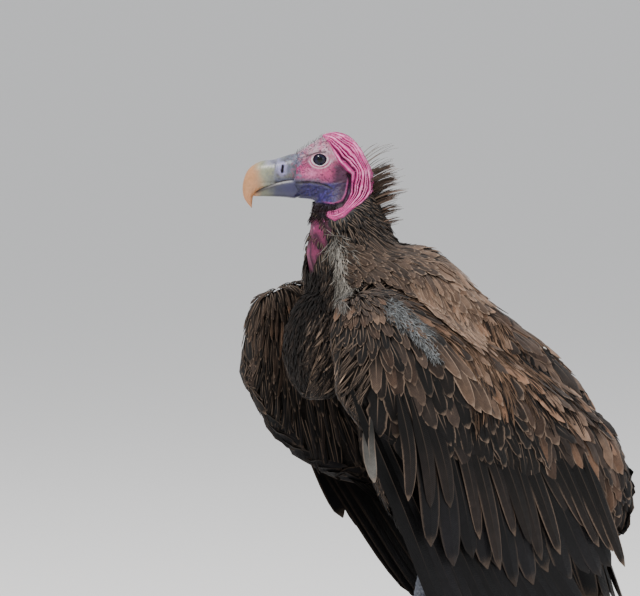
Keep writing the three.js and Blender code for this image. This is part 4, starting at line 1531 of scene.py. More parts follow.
def make_sheets(c, sizes):
    """The two loose sheets of shoulder feathers, whose worn tips stand proud along a ragged edge."""
    rng = np.random.default_rng(51)
    coat = Plumage(VANE_RING)
    stations = 10
    for line, length0, proud, rows, half0, step in ((SHOULDER_EDGE, 58, 8.5, 5, 4.2, 11.0),
            (MANTLE_EDGE, 66, 8.0, 4, 7.0, 13.0)):
        corners = np.array(line, float)
        total = np.r_[0, np.cumsum(np.linalg.norm(np.diff(corners, axis=0), axis=1))]
        for side in (1, -1):
            for row in range(rows):
                count = int(total[-1] / (half0 * 0.62))
                at = (np.linspace(0.0, 1.0, count) * total[-1] + 1.5 * rng.normal(size=count)).clip(0,
                    total[-1])
                tips, before, after = (np.stack([np.interp(place, total, corners[:, k]) for k in (0, 1)],
                    1) for place in (at, at - 6, at + 6))
                ahead = unit(after - before)
                uphill = np.stack([-ahead[:, 1], ahead[:, 0]], 1)
                fall = 0.62 - 0.08 * row
                aim = unit(ahead * 0.8 - uphill * fall + 0.05 * rng.normal(size=ahead.shape))
                length = length0 * (0.8 + 0.4 * rng.random(count)) * np.clip(0.35 + at / 55, 0.4, 1)
                tips = tips + uphill * (row * step + 3.0 * rng.normal(size=count))[:, None]
                roots = cast_quarter(tips - aim * length[:, None], side)
                good = ~np.isnan(roots[:, 0])
                aim, length, roots = aim[good], length[good], roots[good]
                n = len(roots)
                heading = vectors(0, aim[:, 0] / QUARTER[1], aim[:, 1])
                offsets = rising(n, stations, -2.0, proud - 0.9 * row, rng, 1.0)
                shafts, up = lay(roots, heading, length, offsets, bend=rng.normal(size=n) * 0.05, free=0.2)
                width = (
                    half0 * (0.8 + 0.4 * rng.random(n))[:, None]
                    * outline_width(stations, 0.5, 0.3, 0.72, 0.12)
                    * (1 + 0.14 * rng.normal(size=(n, stations)))
                )
                away = 0.3 + 0.7 * ease(85, 150, quarter(layout_of(roots)))
                tint = mix(brown(layout_of(roots), rng, c), c.feather_pale, (0.1 + 0.7 * rng.random(n))
                    * away)
                margin = (0.3 + 0.7 * rng.random(n)) * (0.4 + 0.6 * away)
                roll = rng.normal(size=n) * 0.12
                gauge = sizes.feather_gauge / MM
                coat.add(shafts, up, width, gauge, tint, taper=0.45, margin=margin, roll=roll, seed=52 + row)
    return coat


def make_scapulars(c, sizes):
    """A few long pointed feathers that hang from under the shoulder sheet over the dark quills."""
    rng = np.random.default_rng(57)
    stations = 12
    table = ((176, 500, 214, 406, 11), (166, 514, 203, 430, 10), (186, 486, 226, 396, 11),
        (198, 474, 243, 392, 12), (150, 520, 184, 438, 10), (212, 464, 262, 386, 12))
    coat = Plumage(VANE_RING)
    for side in (1, -1):
        for s0, z0, s1, z1, half in table:
            root = cast_quarter([(s0, z0)], side)
            length = math.hypot(s1 - s0, z1 - z0) * 1.05
            heading = np.array([[0, (s1 - s0) / QUARTER[1], z1 - z0]])
            shafts, up = lay(root, heading, [length], rising(1, stations, -3, 6.5, rng, 0.8),
                bend=[0.05 * rng.normal()], free=0.2)
            width = half * outline_width(stations, 0.45, 0.35, 0.42, 0.06)
            tint = mix(c.feather, c.feather_pale, [0.2 + 0.5 * rng.random()])
            coat.add(shafts, up, width, sizes.feather_gauge / MM, tint, taper=0.45, margin=0.8, roll=0.1
                * rng.normal(), camber=0.16, seed=58)
    return coat


def cast_quarter(places, side):
    """Points of the outline seen from the front quarter at those places: along the view, and height.
    A place where the outline isn't seen gives not-a-number."""
    right = np.array([QUARTER[0] * side, QUARTER[1], 0])
    toward = np.array([QUARTER[1] * side, -QUARTER[0], 0])
    found = np.full((len(places), 3), np.nan)
    for i, (s, z) in enumerate(places):
        origin = (right * s + toward * 900) * MM + LAYOUT + np.array([0, 0, z * MM])
        hit = work["envelope"].ray_cast(Vector(origin), Vector(-toward))[0]
        if hit is not None:
            found[i] = hit
    return found


def make_strands(c):
    """Worn, frayed barbs that hang in a comb below the shoulder and down the folded wing."""
    rng = np.random.default_rng(61)

    def spacing(p, n):
        s, z = quarter(p), p[:, 2]
        lower = line_side(p, MANTLE_EDGE)
        shoulder = line_side(p, SHOULDER_EDGE)
        floor = 428 + 28 * rough(p, 34, 66) + 24 * rough(p, 12, 67) - 0.2 * (s - 200)
        area = (
            (s > 120) & (s < 385) & (z > floor) & (under_back(p) > 20) & (lower < 8)
            & ((shoulder > 8) | (s > 222))
        )
        area |= (s > 300) & (under_back(p) > 8) & (z > floor)
        return np.where(area & (n[:, 0] * np.sign(p[:, 0]) > -0.1) & ~is_leg(p), 3.6, 0)

    roots, _ = scatter(spacing, 62)
    p = layout_of(roots)
    count, stations = len(p), 6
    s = quarter(p)
    angle = (
        np.radians(np.interp(s, (130, 180, 230, 300, 350, 420), (52, 30, 8, 22, 38, 30))) + 0.09
        * rng.normal(size=count) + 0.3 * rough(p, 40, 65)
    )
    heading = vectors(0, np.sin(angle), -np.cos(angle))
    length = (20 + 30 * rng.random(count)) * (1 + 0.25 * ease(300, 360, s))
    shafts, up = lay(roots, heading, length, rising(count, stations, -0.5, 3.6, rng, 2.0),
        bend=rng.normal(size=count) * 0.18)
    width = (0.7 + 0.75 * rng.random(count))[:, None] * outline_width(stations, 0.6, 0.3, 0.5, 0.12)
    shade = (
        0.95 * rng.random(count) ** 1.2 + 0.35 * rough(p, 18, 63) + 0.1 - 0.45
        * (1 - ease(420, 470, p[:, 2]))
    )
    tint = mix(c.feather_dark, c.feather_pale * [1.04, 1.0, 0.94], shade.clip(0, 1.1))
    coat = Plumage(SMALL_RING)
    coat.add(shafts, up, width, 0.45, tint, roll=rng.normal(size=count) * 0.3, camber=0, seed=64, reach=9)
    return coat


def make_flight(side, c, sizes):
    """Blackish quills: primaries low and forward, secondaries behind, and their greater coverts."""
    rng = np.random.default_rng(71 if side > 0 else 72)
    droop = 1.0 if side > 0 else 0.0
    stations = 14
    coat = Plumage(QUILL_RING)

    def blades(count, root0, root1, tip0, tip1, half, thick, lift, tint, margin, ragged, blunt, shift=0.0):
        t = np.linspace(0, 1, count)
        root = np.array(root0) * (1 - t)[:, None] + np.array(root1) * t[:, None]
        e = (t**0.85)[:, None]
        tip = np.array(tip0) * (1 - e) + np.array(tip1) * e
        tip[:, 2] -= 26 * np.sin(np.pi * t)
        root[:, 0] *= side
        tip[:, 0] *= side
        tip += rng.normal(size=tip.shape) * [1.0, 5.0, ragged] * ease(-0.2, 0.4, t)[:, None]
        u = np.linspace(0, 1, stations)[None, :, None]
        shafts = root[:, None] * (1 - u) + tip[:, None] * u
        shafts[:, :, 2] -= lift * 4 * u[:, :, 0] * (1 - u[:, :, 0])
        shafts[:, :, 1] += 9 * np.sin(np.pi * u[:, :, 0]) * (1 - t)[:, None]
        shafts[:, :, 0] += (
            side * (shift + 0.88 * (count - np.arange(count))[:, None] + 3.0 * np.sin(np.pi * u[:, :, 0]))
        )
        out = unit(np.array([side, -0.12, 0.12]))
        width = (
            half * (0.92 + 0.16 * rng.random(count))[:, None]
            * outline_width(stations, 0.3, 0.3, blunt, 0.06)
        )
        tint = tint * (0.6 + 0.8 * rng.random(count))[:, None]
        margin = margin * rng.random(count)
        roll = -side * 0.16 + rng.normal(size=count) * 0.03
        coat.add(laid_out(shafts), out, width, thick, tint, margin=margin, roll=roll, camber=0.1, seed=73)

    gauge = sizes.quill_gauge / MM
    blades(11, (134, 15 - 45 * droop, 462 - 15 * droop), (138, 180, 390),
        (148, 284 - 154 * droop, 105 - 20 * droop), (112, 400, 92), 17, gauge, 14, c.quill, 0.1, 6, 0.7)
    blades(13, (148, 60, 430), (136, 330, 330), (150, 160 - 70 * droop, 225 - 15 * droop), (96, 448, 150),
        19, gauge * 0.8, 8, c.quill * 1.2, 0.25, 18, 0.6, 4.0)
    blades(15, (152, 80 - 50 * droop, 430), (128, 372, 330), (154, 122 - 76 * droop, 345 - 55 * droop),
        (104, 462, 205), 13, gauge * 0.6, 5, mix(c.quill[None], c.feather[None], [0.3])[0], 0.4, 28, 0.45,
        8.0)
    return coat


def make_tail(c, sizes):
    """Twelve worn tail feathers, stepped from the middle pair outward."""
    rng = np.random.default_rng(81)
    a = np.linspace(-1, 1, 12)
    stations = 14
    root = np.stack([a * 26, 392 - 6 * np.abs(a), 402 + 0 * a], 1)
    tip = np.stack([a * 74, 506 - 12 * a**2, 86 + 26 * a**2], 1) + rng.normal(size=(12, 3)) * [1, 2, 5]
    u = np.linspace(0, 1, stations)[None, :, None]
    shafts = root[:, None] * (1 - u) + tip[:, None] * u
    shafts[:, :, 2] += 10 * 4 * u[:, :, 0] * (1 - u[:, :, 0])
    shafts[:, :, 1] += 2.2 * (6 - np.abs(np.arange(12) - 5.5))[:, None] - 6
    up = np.zeros_like(shafts) + [0, 0.95, 0.3]
    up[:, :, 0] += a[:, None] * 0.35
    width = 20 * outline_width(stations, 0.3, 0.3, 0.8, 0.15) * (1 + 0.03 * rng.normal(size=(12, stations)))
    coat = Plumage(QUILL_RING)
    tint = c.quill * 1.1 * (0.85 + 0.3 * rng.random(12))[:, None]
    coat.add(laid_out(shafts), unit(up), width, sizes.quill_gauge / MM, tint, margin=0.25, roll=0.12
        * np.sign(a), seed=82)
    return coat


def make_ruff(c):
    """Frayed feathers that stand out behind the nape in a fan, with long hairs above them."""
    rng = np.random.default_rng(91)
    coat = Plumage(SMALL_RING)
    stations = 8
    u = np.linspace(0, 1, stations)[:, None]
    for row in range(9):
        hair = row < 3
        for place in np.linspace(-1.1, 0.62, 9 if hair else 17):
            clump = rng.normal(size=3)
            for _ in range(2 if hair else 7):
                across = place + 0.05 * clump[0] + 0.05 * rng.normal()
                turn = math.radians(across * 64 + HEAD_TURN * 0.3)
                high = (
                    (764 - 15 * row if hair else 727 - 11.5 * (row - 3)) + 3.5 * clump[1] + 2.0
                    * rng.normal()
                )
                reach = (
                    (82 if hair else 95 - 2.2 * abs(row - 5)) - 12 * abs(across) + 4 * clump[2] + 5
                    * rng.normal()
                )
                root = np.array([math.sin(turn) * 22, 56 + math.cos(turn) * 18, high - (26 if hair else 12)
                    - 2 * row])
                tip = np.array([math.sin(turn) * reach * 0.85, 46 + math.cos(turn) * reach,
                    high + (6 if hair else 5 - 3.0 * (row - 5))])
                shaft = (
                    root * (1 - u) + tip * u + np.array([0, 0, 1])
                    * (24 * u * (1 - u) * rng.uniform(0.2, 1.2))
                )
                up = np.cross(np.array([math.cos(turn), -math.sin(turn), 0]), tip - root)
                up = up / np.linalg.norm(up) * (1 if up[2] > 0 else -1)
                width = (
                    (0.55 if hair else rng.uniform(0.8, 1.7))
                    * outline_width(stations, 0.7, 0.3, 0.45, 0.12)
                )
                tint = mix(c.feather_dark[None], c.ruff[None] * [1.15, 1.0, 0.9],
                    [rng.random() ** 1.3 * (0.5 if hair else 1.1)])
                coat.add(laid_out(shaft)[None], up, width, 0.55, tint,
                         margin=0.3, roll=rng.normal() * 0.5, camber=0, seed=rng.integers(1e6))
    return coat


def make_neck(c):
    """Dark pointed feathers round the neck, up to the hood's lower edge and along the wattles' creases."""
    rng = np.random.default_rng(101)

    def spacing(p, n):
        points = laid_out(p)
        _, f, u = to_head(points)
        line, turn, _ = line_distance(f, u, NAPE)
        below_hood = (
            (turn * line > -1) & (f < np.interp(u, (-130, -84), (-26, -14))) | (u < -84)
            & (neck_bare(points) < 0.12)
        )
        below_hood |= (wattle_crease(points, 1.6) > 0.5) & (p[:, 0] > -30)
        collar = (
            (p[:, 2] > 608) & (np.abs(p[:, 0]) < 92) & (p[:, 1] < 182) & below_hood
            & (white_at_neck(p) < 0.35)
        )
        return np.where(collar, 3.9, 0)

    roots, _ = scatter(spacing, 102)
    p = layout_of(roots)
    count, stations = len(p), 7
    heading = (
        vectors(np.sign(p[:, 0]) * 0.1, 0.35 + 0.75 * ease(20, 90, p[:, 1]), -1.0 + 0.3
        * ease(60, 120, p[:, 1])) + 0.22 * rng.normal(size=(count, 3))
    )
    crease = wattle_crease(roots, 2.0) > 0.3
    length = (10 + 9 * rng.random(count) + 12 * (1 - ease(640, 690, p[:, 2]))) * np.where(crease, 0.45, 1.0)
    shafts, up = lay(roots, heading, length, rising(count, stations, -1.0, 3.2, rng, 1.8),
        bend=rng.normal(size=count) * 0.35)
    width = (1.1 + 1.5 * rng.random(count) ** 1.5)[:, None] * outline_width(stations, 0.5, 0.35, 0.5, 0.08)
    tint = mix(c.feather_dark * 0.7, c.feather, 0.4 * rng.random(count) ** 2 + 0.3 * ease(70, 140, p[:, 1]))
    tint = np.where(crease[:, None], c.feather_dark * 0.5, tint)
    coat = Plumage(SMALL_RING)
    coat.add(shafts, up, width, 0.6, tint, roll=rng.normal(size=count) * 0.3, seed=103)
    return coat


def make_plush(c):
    """Short dark plush over the crop."""
    rng = np.random.default_rng(114)

    def spacing(p, n):
        return np.where(is_breast(p, n) & ~bare_head(p) & (p[:, 2] > 378) & (np.abs(p[:, 0]) < 66)
            & (p[:, 1] < 75), 3.1, 0)

    roots, _ = scatter(spacing, 115)
    p = layout_of(roots)
    count, stations = len(p), 5
    heading = (
        vectors(-np.sign(p[:, 0]) * 0.2 * ease(20, 50, np.abs(p[:, 0])), -0.1, -1) + 0.16
        * rng.normal(size=(count, 3))
    )
    length = 13 + 9 * rng.random(count)
    shafts, up = lay(roots, heading, length, rising(count, stations, -4, 1.2, rng, 1.4),
        bend=rng.normal(size=count) * 0.3)
    width = (0.9 + 0.7 * rng.random(count))[:, None] * outline_width(stations, 0.6, 0.35, 0.45, 0.1)
    tint = mix(c.feather_dark, c.feather, 0.45 * rng.random(count) ** 1.5)
    coat = Plumage(SMALL_RING)
    coat.add(shafts, up, width, 0.55, tint, roll=rng.normal(size=count) * 0.4, camber=0, seed=116)
    return coat


def make_breast(c):
    """Narrow pale-edged feathers beside the crop and hanging from it down the belly."""
    rng = np.random.default_rng(111)

    def spacing(p, n):
        area = is_breast(p, n) & ~bare_head(p)
        crop = (p[:, 2] > 385) & (np.abs(p[:, 0]) < 34 + 22 * rough(p, 10, 119)) & (p[:, 1] < 50)
        return np.where(area & ~crop, 6.6, 0)

    roots, _ = scatter(spacing, 112)
    p = layout_of(roots)
    count, stations = len(p), 8
    low = 1 - ease(400, 470, p[:, 2])
    outward = ease(18, 60, np.abs(p[:, 0])) * (1 - low)
    heading = (
        vectors(-np.sign(p[:, 0]) * 0.75 * outward, -0.2 - 0.3 * outward, -1) + 0.15
        * rng.normal(size=(count, 3))
    )
    length = 20 + 9 * rng.random(count) + 42 * low + 16 * outward
    shafts, up = lay(roots, heading, length, rising(count, stations, -4, 2.2, rng, 1.4),
        bend=rng.normal(size=count) * 0.2)
    width = (
        (1.5 + 0.9 * rng.random(count) + 2.0 * low - 0.6 * outward)[:, None]
        * outline_width(stations, 0.5, 0.35, 0.45, 0.08)
    )
    tint = mix(c.feather_dark, c.feather, 0.3 * rng.random(count) + 0.4 * outward * rng.random(count))
    tint = mix(tint, c.feather_edge, 0.75 * outward * (rng.random(count) < 0.1))
    coat = Plumage(VANE_RING)
    coat.add(shafts, up, width, 0.6, tint, margin=0.1 + 0.6 * (low + outward) * rng.random(count),
        roll=rng.normal(size=count) * 0.2, seed=113, reach=14)
    return coat


def make_white_down(c):
    """Grey-white down at the base of the neck and where the shoulder feathers part."""
    rng = np.random.default_rng(121)

    def spacing(p, n):
        front = (white_at_neck(p) > 0.05) & ~is_down_patch(p, n) & (n[:, 1] < 0.9)
        return np.where((front & ~bare_head(p)) | is_down_patch(p, n), 1.9, 0)

    roots, _ = scatter(spacing, 122)
    p = layout_of(roots)
    count, stations = len(p), 5
    patch = on_wing(p) & (line_distance(quarter(p), p[:, 2], DOWN_PATCH)[0] < 16)
    apart = unit(vectors(0, quarter(p) - 38, p[:, 2] - 634)) * np.where(patch, 0, 1)[:, None]
    heading = (
        lie(p) * [1, 0.8, 1] + 0.6 * apart + 0.3 * rng.normal(size=(count, 3)) + 0.5
        * vectors(*(rough(p, 12, seed) for seed in (124, 125, 126)))
    )
    length = 8 + 8 * rng.random(count) + np.where(patch, 0, 2 + 9 * rng.random(count))
    offsets = rising(count, stations, -1.5, 2.8, rng, 1.2) + np.where(patch, 0, 2.5)[:, None]
    shafts, up = lay(roots, heading, length, offsets, bend=rng.normal(size=count)
        * np.where(patch, 0.8, 0.45))
    width = (
        ((0.38 + 0.35 * rng.random(count)) * np.where(patch, 1, 0.75))[:, None]
        * outline_width(stations, 0.7, 0.3, 0.4, 0.15)
    )
    middle = np.where(patch, 1 - ease(3, 13, line_distance(quarter(p), p[:, 2], DOWN_PATCH)[0]),
        white_at_neck(p))
    shade = (
        np.where(patch, 0.15 + 0.85 * rng.random(count), 0.45 + 0.6 * rng.random(count))
        * (0.4 + 0.6 * middle)
    )
    tint = mix(c.feather_dark * 1.5, c.white_down
        * np.where(patch[:, None], [0.6, 0.66, 0.73], [1.05, 1.0, 0.94]), shade.clip(0, 1))
    coat = Plumage(SMALL_RING)
    coat.add(shafts, up, width, 0.4, tint, roll=rng.normal(size=count) * 0.5, camber=0, seed=123)
    return coat


def make_thigh_down(c):
    """Long loose down over the thighs and belly under the wings."""
    rng = np.random.default_rng(131)

    def spacing(p, n):
        under = is_leg(p) & ~bare_head(p) & ~is_breast(p, n)
        return np.where(under, 7.5, 0)

    roots, _ = scatter(spacing, 132)
    p = layout_of(roots)
    count, stations = len(p), 6
    heading = vectors(0, 0.35 * ease(150, 250, p[:, 1]), -1) + 0.2 * rng.normal(size=(count, 3))
    length = (22 + 16 * rng.random(count)) * (0.55 + 0.45 * ease(180, 260, p[:, 2]))
    shafts, up = lay(roots, heading, length, rising(count, stations, -4.0, 2.5, rng, 1.5),
        bend=rng.normal(size=count) * 0.35)
    width = (2.6 + 1.6 * rng.random(count))[:, None] * outline_width(stations, 0.6, 0.3, 0.45, 0.1)
    # Darker on the far side of the body: painted shade.
    tint = (
        mix(c.feather_dark * 0.7, c.feather * 0.6, rng.random(count) * 0.35)
        * np.where(p[:, :1] < 0, 0.6, 1.0)
    )
    coat = Plumage(SMALL_RING)
    coat.add(shafts, up, width, 0.8, tint, roll=rng.normal(size=count) * 0.4, seed=133, reach=14)
    return coat


def make_bristles(c):
    """Sparse bristles of forehead, lores and chin, and thin hairs over the hood."""
    rng = np.random.default_rng(141)

    def spacing(p, n):
        _, f, u = to_head(laid_out(p))
        place = HeadPlace(laid_out(p))
        crown = (u > 5) & (f > -12) & (f < 30) & (place.eye > 15)
        lores = (np.hypot(f - 28, u + 4) < 15) & (place.eye > 15)
        chin = (u < -61) & (u > -84) & (f > -24) & (f < 24) & (place.hood < 0.1)
        rest = (u > -46) & (f > -90) & (f < 34) & (place.eye > 16)
        return np.select([chin, lores, crown, rest], [2.6, 3.2, 4.0, 8.5], 0)

    roots, _ = scatter(spacing, 142)
    p = layout_of(roots)
    _, f, u = to_head(roots)
    hood = HeadPlace(roots).hood > 0.5
    chin = u < -60
    count, stations = len(p), 5
    forward = from_head(np.array([[0.0, 1, 0]])) - from_head(np.zeros((1, 3)))
    heading = (
        unit(forward) * np.where(chin, 0.2, -1.0)[:, None]
        + vectors(0, 0, np.where(chin, -1.0, np.where(hood, -0.7, -0.15)))
    )
    heading = heading + 0.35 * rng.normal(size=(count, 3))
    length = np.where(chin, 9 + 6 * rng.random(count), 3.5 + 4 * rng.random(count))
    shafts, up = lay(roots, heading, length, rising(count, stations, 0.2, 1.0, rng, 0.0)
        + np.linspace(0, 1, stations)[None] * (1 + 3 * rng.random(count))[:, None],
        bend=rng.normal(size=count) * 0.5)
    width = np.where(chin, 0.55, 0.3)[:, None] * np.linspace(1, 0.3, stations)[None]
    tint = np.where((hood & ~chin)[:, None], c.hood_light, c.bristle_and_shade)
    coat = Plumage(SMALL_RING)
    coat.add(shafts, up, width, width.clip(0.12), tint, taper=1, roll=rng.normal(size=count) * 0.5,
        camber=0, seed=143)
    return coat


def make_scales(c):
    """Scales of the shanks and the tops of the toes, each lapping the next toward the claws."""
    rng = np.random.default_rng(151)

    def spacing(p, n):
        leg = (p[:, 2] < 172) & (np.abs(np.abs(p[:, 0]) - FOOT_SPREAD) < 62) & (p[:, 1] < 330)
        return np.where(leg & (p[:, 2] > 5) & ((n[:, 2] > -0.3) | (p[:, 2] > 50)), 4.6 - 0.9
            * (p[:, 2] < 40), 0)

    roots, _ = scatter(spacing, 152)
    p = layout_of(roots)
    count, stations = len(p), 5
    from_ankle = p - vectors(np.sign(p[:, 0]) * FOOT_SPREAD, FOOT_BACK, 0)
    low = (1 - ease(30, 60, p[:, 2]))[:, None]
    heading = unit(from_ankle * [1, 1, 0]) * low + np.array([0, 0, -1.0]) * (1 - low)
    length = 6.0 + 1.2 * rng.random(count) - 1.0 * low[:, 0]
    offsets = np.broadcast_to(np.array([-0.7, 0.1, 0.5, 0.6, 0.35]), (count, stations))
    shafts, up = lay(roots, heading, length, offsets)
    width = (3.3 - 0.7 * low) * np.array([0.75, 0.98, 1.0, 0.85, 0.4])[None]
    coat = Plumage(VANE_RING)
    tint = mix(c.leg, c.leg * 0.6, rng.random(count))
    coat.add(shafts, up, width, 0.5, tint, taper=1, camber=0.16, seed=153)
    return coat


def make_filaments(c):
    """Long hair-like plumes that hang in loose curves between the crop and the wings."""
    rng = np.random.default_rng(161)
    stations = 12
    coat = Plumage(SMALL_RING)
    for side in (1, -1):
        for _ in range(18):
            root = cast_front(side * rng.uniform(44, 84), rng.uniform(470, 565))
            if root is None:
                continue
            length = rng.uniform(45, 105)
            heading = np.array([[side * rng.uniform(-0.5, 0.15), -0.1, -1.0]])
            offsets = np.linspace(0.5, rng.uniform(4, 9), stations)[None]
            shafts, up = lay(root[None], heading, [length], offsets, bend=[rng.uniform(-0.3, 0.3)], free=0.2)
            tint = mix(c.feather[None], c.feather_edge[None] * 1.1, [rng.random()])
            coat.add(shafts, up, np.linspace(0.45, 0.2, stations), 0.4, tint, taper=1, roll=rng.normal()
                * 0.6, camber=0, seed=162, reach=14)
    return coat


def cast_front(x, z):
    """The point of the outline met first from the front at that place, or None."""
    hit = work["envelope"].ray_cast(Vector(laid_out(np.array([[x, -900.0, z]]))[0]), Vector((0, 1, 0)))[0]
    return None if hit is None else np.array(hit)


def make_pale_feather(c, sizes):
    """One pale grey under-covert that has slipped out below the left wing's front edge."""
    stations = 12
    t = np.linspace(0, 1, stations)[:, None]
    shaft = (
        np.array([147.0, 3, 412]) * (1 - t) + np.array([151.0, 6, 306]) * t + [0, -7, 0]
        * np.sin(np.pi * t)
    )
    coat = Plumage(VANE_RING)
    coat.add(laid_out(shaft)[None], unit(np.array([0.86, -0.5, 0.05])),
        9 * outline_width(stations, 0.25, 0.45, 0.6, 0.15), sizes.feather_gauge / MM, c.white_down * 0.2,
        taper=0.5, margin=0.3, seed=171)
    return coat


# ---- operators: one for each piece or group of like pieces ----


class VULTURE_OT_skin(bpy.types.Operator):
    """One skin over head, neck, trunk, wings and legs, with the head's folds and lids"""

    bl_idname = "vulture.skin"
    bl_label = "Skin"

    def execute(self, context):
        sizes, c = context.scene.vulture_sizes, Palette()
        skin = plain_body(sizes.skin_voxel)
        keep_outline(skin)
        keep_unwrap(skin)
        refine(skin)
        dress_skin(skin)
        set_attribute(skin, "markings", skin_colour(points_of(skin), c))
        set_attribute(skin, "folds", fold_attribute(points_of(skin)))
        activate(skin)
        bpy.ops.object.shade_smooth()
        finished(skin, skin_material(c), FLESH + TOE_NODES)
        return {"FINISHED"}


class VULTURE_OT_bill(bpy.types.Operator):
    """The bill's two sheaths: cere, nostrils and hook above, the shallow trough below"""

    bl_idname = "vulture.bill"
    bl_label = "Bill"

    def execute(self, context):
        c = Palette()
        material = bill_material()
        upper, points = swept("upper_bill", UPPER_BILL, 112, 150, 2.15)
        points = upper_bill_points(points)
        placed(upper, from_head(points))
        set_attribute(upper, "markings", bill_colour(points, c))
        finished(upper, material, ["bill_upper"])
        lower, points = swept("lower_bill", LOWER_BILL, 64, 90, 3.2)
        placed(lower, from_head(points))
        set_attribute(lower, "markings", lower_bill_colour(points, c))
        finished(lower, material, ["bill_lower"])
        return {"FINISHED"}


class VULTURE_OT_eyes(bpy.types.Operator):
    """Both eyeballs, each with its cornea"""

    bl_idname = "vulture.eyes"
    bl_label = "Eyes"

    def execute(self, context):
        material = eye_material(Palette())
        for name, side in SIDES:
            finished(make_eye(f"eyeball_{name}", side), material, [f"eye_{name}"])
        return {"FINISHED"}


class VULTURE_OT_claws(bpy.types.Operator):
    """Four worn claws on each foot"""

    bl_idname = "vulture.claws"
    bl_label = "Claws"

    def execute(self, context):
        material = claw_material(Palette())
        for name, side in SIDES:
            for toe, angle, length, claw in TOES:
                piece = make_claw(f"talon_{name}_{toe}", side, angle, length, claw)
                finished(piece, material, [f"claw_{name}_{toe}"])
        return {"FINISHED"}


class VULTURE_OT_coverts(bpy.types.Operator):
    """Coverts over both wings, small at the wrist and long below"""

    bl_idname = "vulture.coverts"
    bl_label = "Wing coverts"

    def execute(self, context):
        sizes, c = context.scene.vulture_sizes, Palette()
        material = feather_material("contour_feather", c, 0.5, 2.4, (0.55, 0.8), 0.14, 0.04)
        work["contour_feather"] = material
        for name, side in SIDES:
            coat = make_wing_coverts(name, side, sizes, c)
            finished(coat.piece(f"coverts_{name}"), material)
        return {"FINISHED"}


class VULTURE_OT_mantle(bpy.types.Operator):
    """Feathers of the back and the loose sheets over the shoulders"""

    bl_idname = "vulture.mantle"
    bl_label = "Mantle"

    def execute(self, context):
        sizes, c = context.scene.vulture_sizes, Palette()
        material = work["contour_feather"]
        finished(make_mantle(c, sizes).piece("mantle_feathers"), material)
        finished(make_sheets(c, sizes).piece("shoulder_sheets"), material)
        finished(make_scapulars(c, sizes).piece("long_scapulars"), material)
        finished(make_strands(c).piece("frayed_barbs"), down_material("frayed_vane", 0.03))
        return {"FINISHED"}


class VULTURE_OT_flight(bpy.types.Operator):
    """Flight feathers of both wings and the tail"""

    bl_idname = "vulture.flight"
    bl_label = "Flight feathers"

    def execute(self, context):
        sizes, c = context.scene.vulture_sizes, Palette()
        material = feather_material("flight_quill", c, 0.14, 3.2, (0.38, 0.6), 0.12)
        for name, side in SIDES:
            finished(make_flight(side, c, sizes).piece(f"quills_{name}"), material,
                [f"primaries_{name}"])
        finished(make_tail(c, sizes).piece("tail_feathers"), material, ["tail"])
        return {"FINISHED"}


class VULTURE_OT_neck(bpy.types.Operator):
    """The ruff's spikes, the neck's pointed feathers and the white down at its base"""

    bl_idname = "vulture.neck"
    bl_label = "Ruff and neck"

    def execute(self, context):
        c = Palette()
        material = work["contour_feather"]
        finished(make_ruff(c).piece("ruff_feathers"), material, ["ruff"])
        finished(make_neck(c).piece("neck_feathers"), material)
        finished(make_white_down(c).piece("white_down"), down_material("white_down"))
        return {"FINISHED"}


class VULTURE_OT_breast(bpy.types.Operator):
    """Plush of the crop, hanging belly feathers and the down of the thighs"""

    bl_idname = "vulture.breast"
    bl_label = "Breast and thighs"

    def execute(self, context):
        c = Palette()
        finished(make_plush(c).piece("crop_plush"), down_material("crop_plush", 0.06))
        finished(make_breast(c).piece("breast_feathers"), work["contour_feather"])
        finished(make_thigh_down(c).piece("thigh_down"), down_material("thigh_down", 0.05))
        finished(make_filaments(c).piece("breast_filaments"), down_material("breast_filament", 0.0))
        finished(make_pale_feather(c, context.scene.vulture_sizes).piece("pale_feather"),
            work["contour_feather"])
        return {"FINISHED"}


class VULTURE_OT_scales(bpy.types.Operator):
    """Scales of shanks and toes"""

    bl_idname = "vulture.scales"
    bl_label = "Leg scales"

    def execute(self, context):
        c = Palette()
        finished(make_scales(c).piece("leg_scales"), scale_material())
        return {"FINISHED"}


class VULTURE_OT_bristles(bpy.types.Operator):
    """Bristles of the face and hairs of the hood"""

    bl_idname = "vulture.bristles"
    bl_label = "Bristles"

    def execute(self, context):
        c = Palette()
        finished(make_bristles(c).piece("head_bristles"), down_material("bristle_keratin", 0.0))
        return {"FINISHED"}


LIGHTS = (
    ("key_light", (1.6, -3.4, 4.6), 1.3, 300, (1.0, 0.98, 0.95)),
    ("sky_light", (0.5, 1.4, 4.6), 2.0, 120, (0.95, 0.98, 1.0)),
    ("fill_light", (4.2, 1.2, 1.6), 2.4, 30, (1.0, 0.98, 0.96)),
)
CAMERA_TURN, CAMERA_RISE = 57.0, 3.0  # degrees round the bird from its front, and above level
CAMERA_FAR = 9.0  # metres
CAMERA_SIDE, CAMERA_HIGH, CAMERA_WIDE = 11.3, 557.0, 902.4  # where it looks and how wide, in millimetres


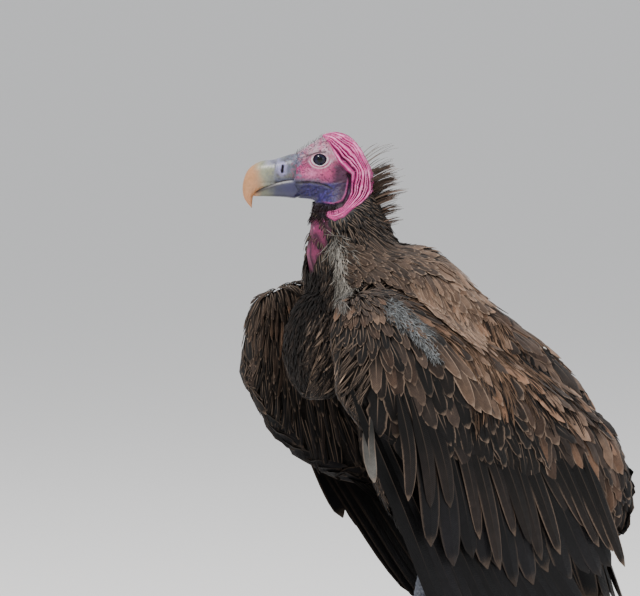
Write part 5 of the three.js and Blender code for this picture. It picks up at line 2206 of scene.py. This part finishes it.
class VULTURE_OT_stage(bpy.types.Operator):
    """Pale floor, soft lights and the camera"""

    bl_idname = "vulture.stage"
    bl_label = "Stage"

    def execute(self, context):
        scene = context.scene
        bpy.ops.object.select_all(action="DESELECT")
        bpy.ops.mesh.primitive_plane_add(size=1200)
        floor = context.view_layer.objects.active
        floor.name = "floor"
        material, _, shader = new_material("matte_floor")
        feed(shader, {"Base Color": (0.8, 0.78, 0.76, 1), "Roughness": 0.9})
        floor.data.materials.append(material)
        world = bpy.data.worlds.new("soft_daylight")
        world.use_nodes = True
        feed(world.node_tree.nodes["Background"], {"Color": (0.93, 0.96, 1.0, 1), "Strength": 0.85})
        scene.world = world
        for name, place, size, watts, tint in LIGHTS:
            bpy.ops.object.light_add(type="AREA", location=place)
            light = context.view_layer.objects.active
            light.name = name
            light.data.shape = "DISK"
            light.data.size = size
            light.data.energy = watts
            light.data.color = tint
            aim = Vector((0, -0.05, 0.5)) - Vector(place)
            light.rotation_euler = aim.to_track_quat("-Z", "Y").to_euler()
        around, above = math.radians(CAMERA_TURN), math.radians(CAMERA_RISE)
        right = Vector((math.cos(around), math.sin(around), 0))
        back = Vector((math.sin(around) * math.cos(above), -math.cos(around) * math.cos(above),
            math.sin(above)))
        target = right * (CAMERA_SIDE * MM) + Vector((LAYOUT[0], LAYOUT[1], CAMERA_HIGH * MM))
        bpy.ops.object.camera_add(location=target + back * CAMERA_FAR)
        camera = context.view_layer.objects.active
        camera.name = "camera"
        camera.rotation_euler = back.to_track_quat("Z", "Y").to_euler()
        camera.data.sensor_width = 36
        camera.data.lens = 36 * CAMERA_FAR / (CAMERA_WIDE * MM)
        camera.data.clip_end = 2000
        scene.camera = camera
        return {"FINISHED"}


OPERATORS = (VULTURE_OT_stage, VULTURE_OT_skin, VULTURE_OT_bill, VULTURE_OT_eyes, VULTURE_OT_claws,
    VULTURE_OT_coverts, VULTURE_OT_mantle, VULTURE_OT_flight, VULTURE_OT_neck, VULTURE_OT_breast,
    VULTURE_OT_scales, VULTURE_OT_bristles)


class VULTURE_PT_panel(bpy.types.Panel):
    """Buttons that build the bird's pieces, and its sizes and colours"""

    bl_label = "Lappet-faced Vulture"
    bl_idname = "VULTURE_PT_panel"
    bl_space_type = "VIEW_3D"
    bl_region_type = "UI"
    bl_category = "Vulture"

    def draw(self, context):
        layout = self.layout
        for operator in OPERATORS:
            layout.operator(operator.bl_idname)
        for group in (context.scene.vulture_sizes, context.scene.vulture_colours):
            box = layout.box()
            for name in group.__annotations__:
                box.prop(group, name)


CLASSES = (VultureSizes, VultureColours, *OPERATORS, VULTURE_PT_panel)


def register():
    """Adds the classes and the settings to Blender."""
    for cls in CLASSES:
        bpy.utils.register_class(cls)
    bpy.types.Scene.vulture_sizes = bpy.props.PointerProperty(type=VultureSizes)
    bpy.types.Scene.vulture_colours = bpy.props.PointerProperty(type=VultureColours)


def unregister():
    """Takes them away again."""
    del bpy.types.Scene.vulture_colours
    del bpy.types.Scene.vulture_sizes
    for cls in reversed(CLASSES):
        bpy.utils.unregister_class(cls)


def main():
    """Builds every piece in turn."""
    register()
    for operator in OPERATORS:
        group, name = operator.bl_idname.split(".")
        getattr(getattr(bpy.ops, group), name)()


if __name__ == "__main__":
    main()
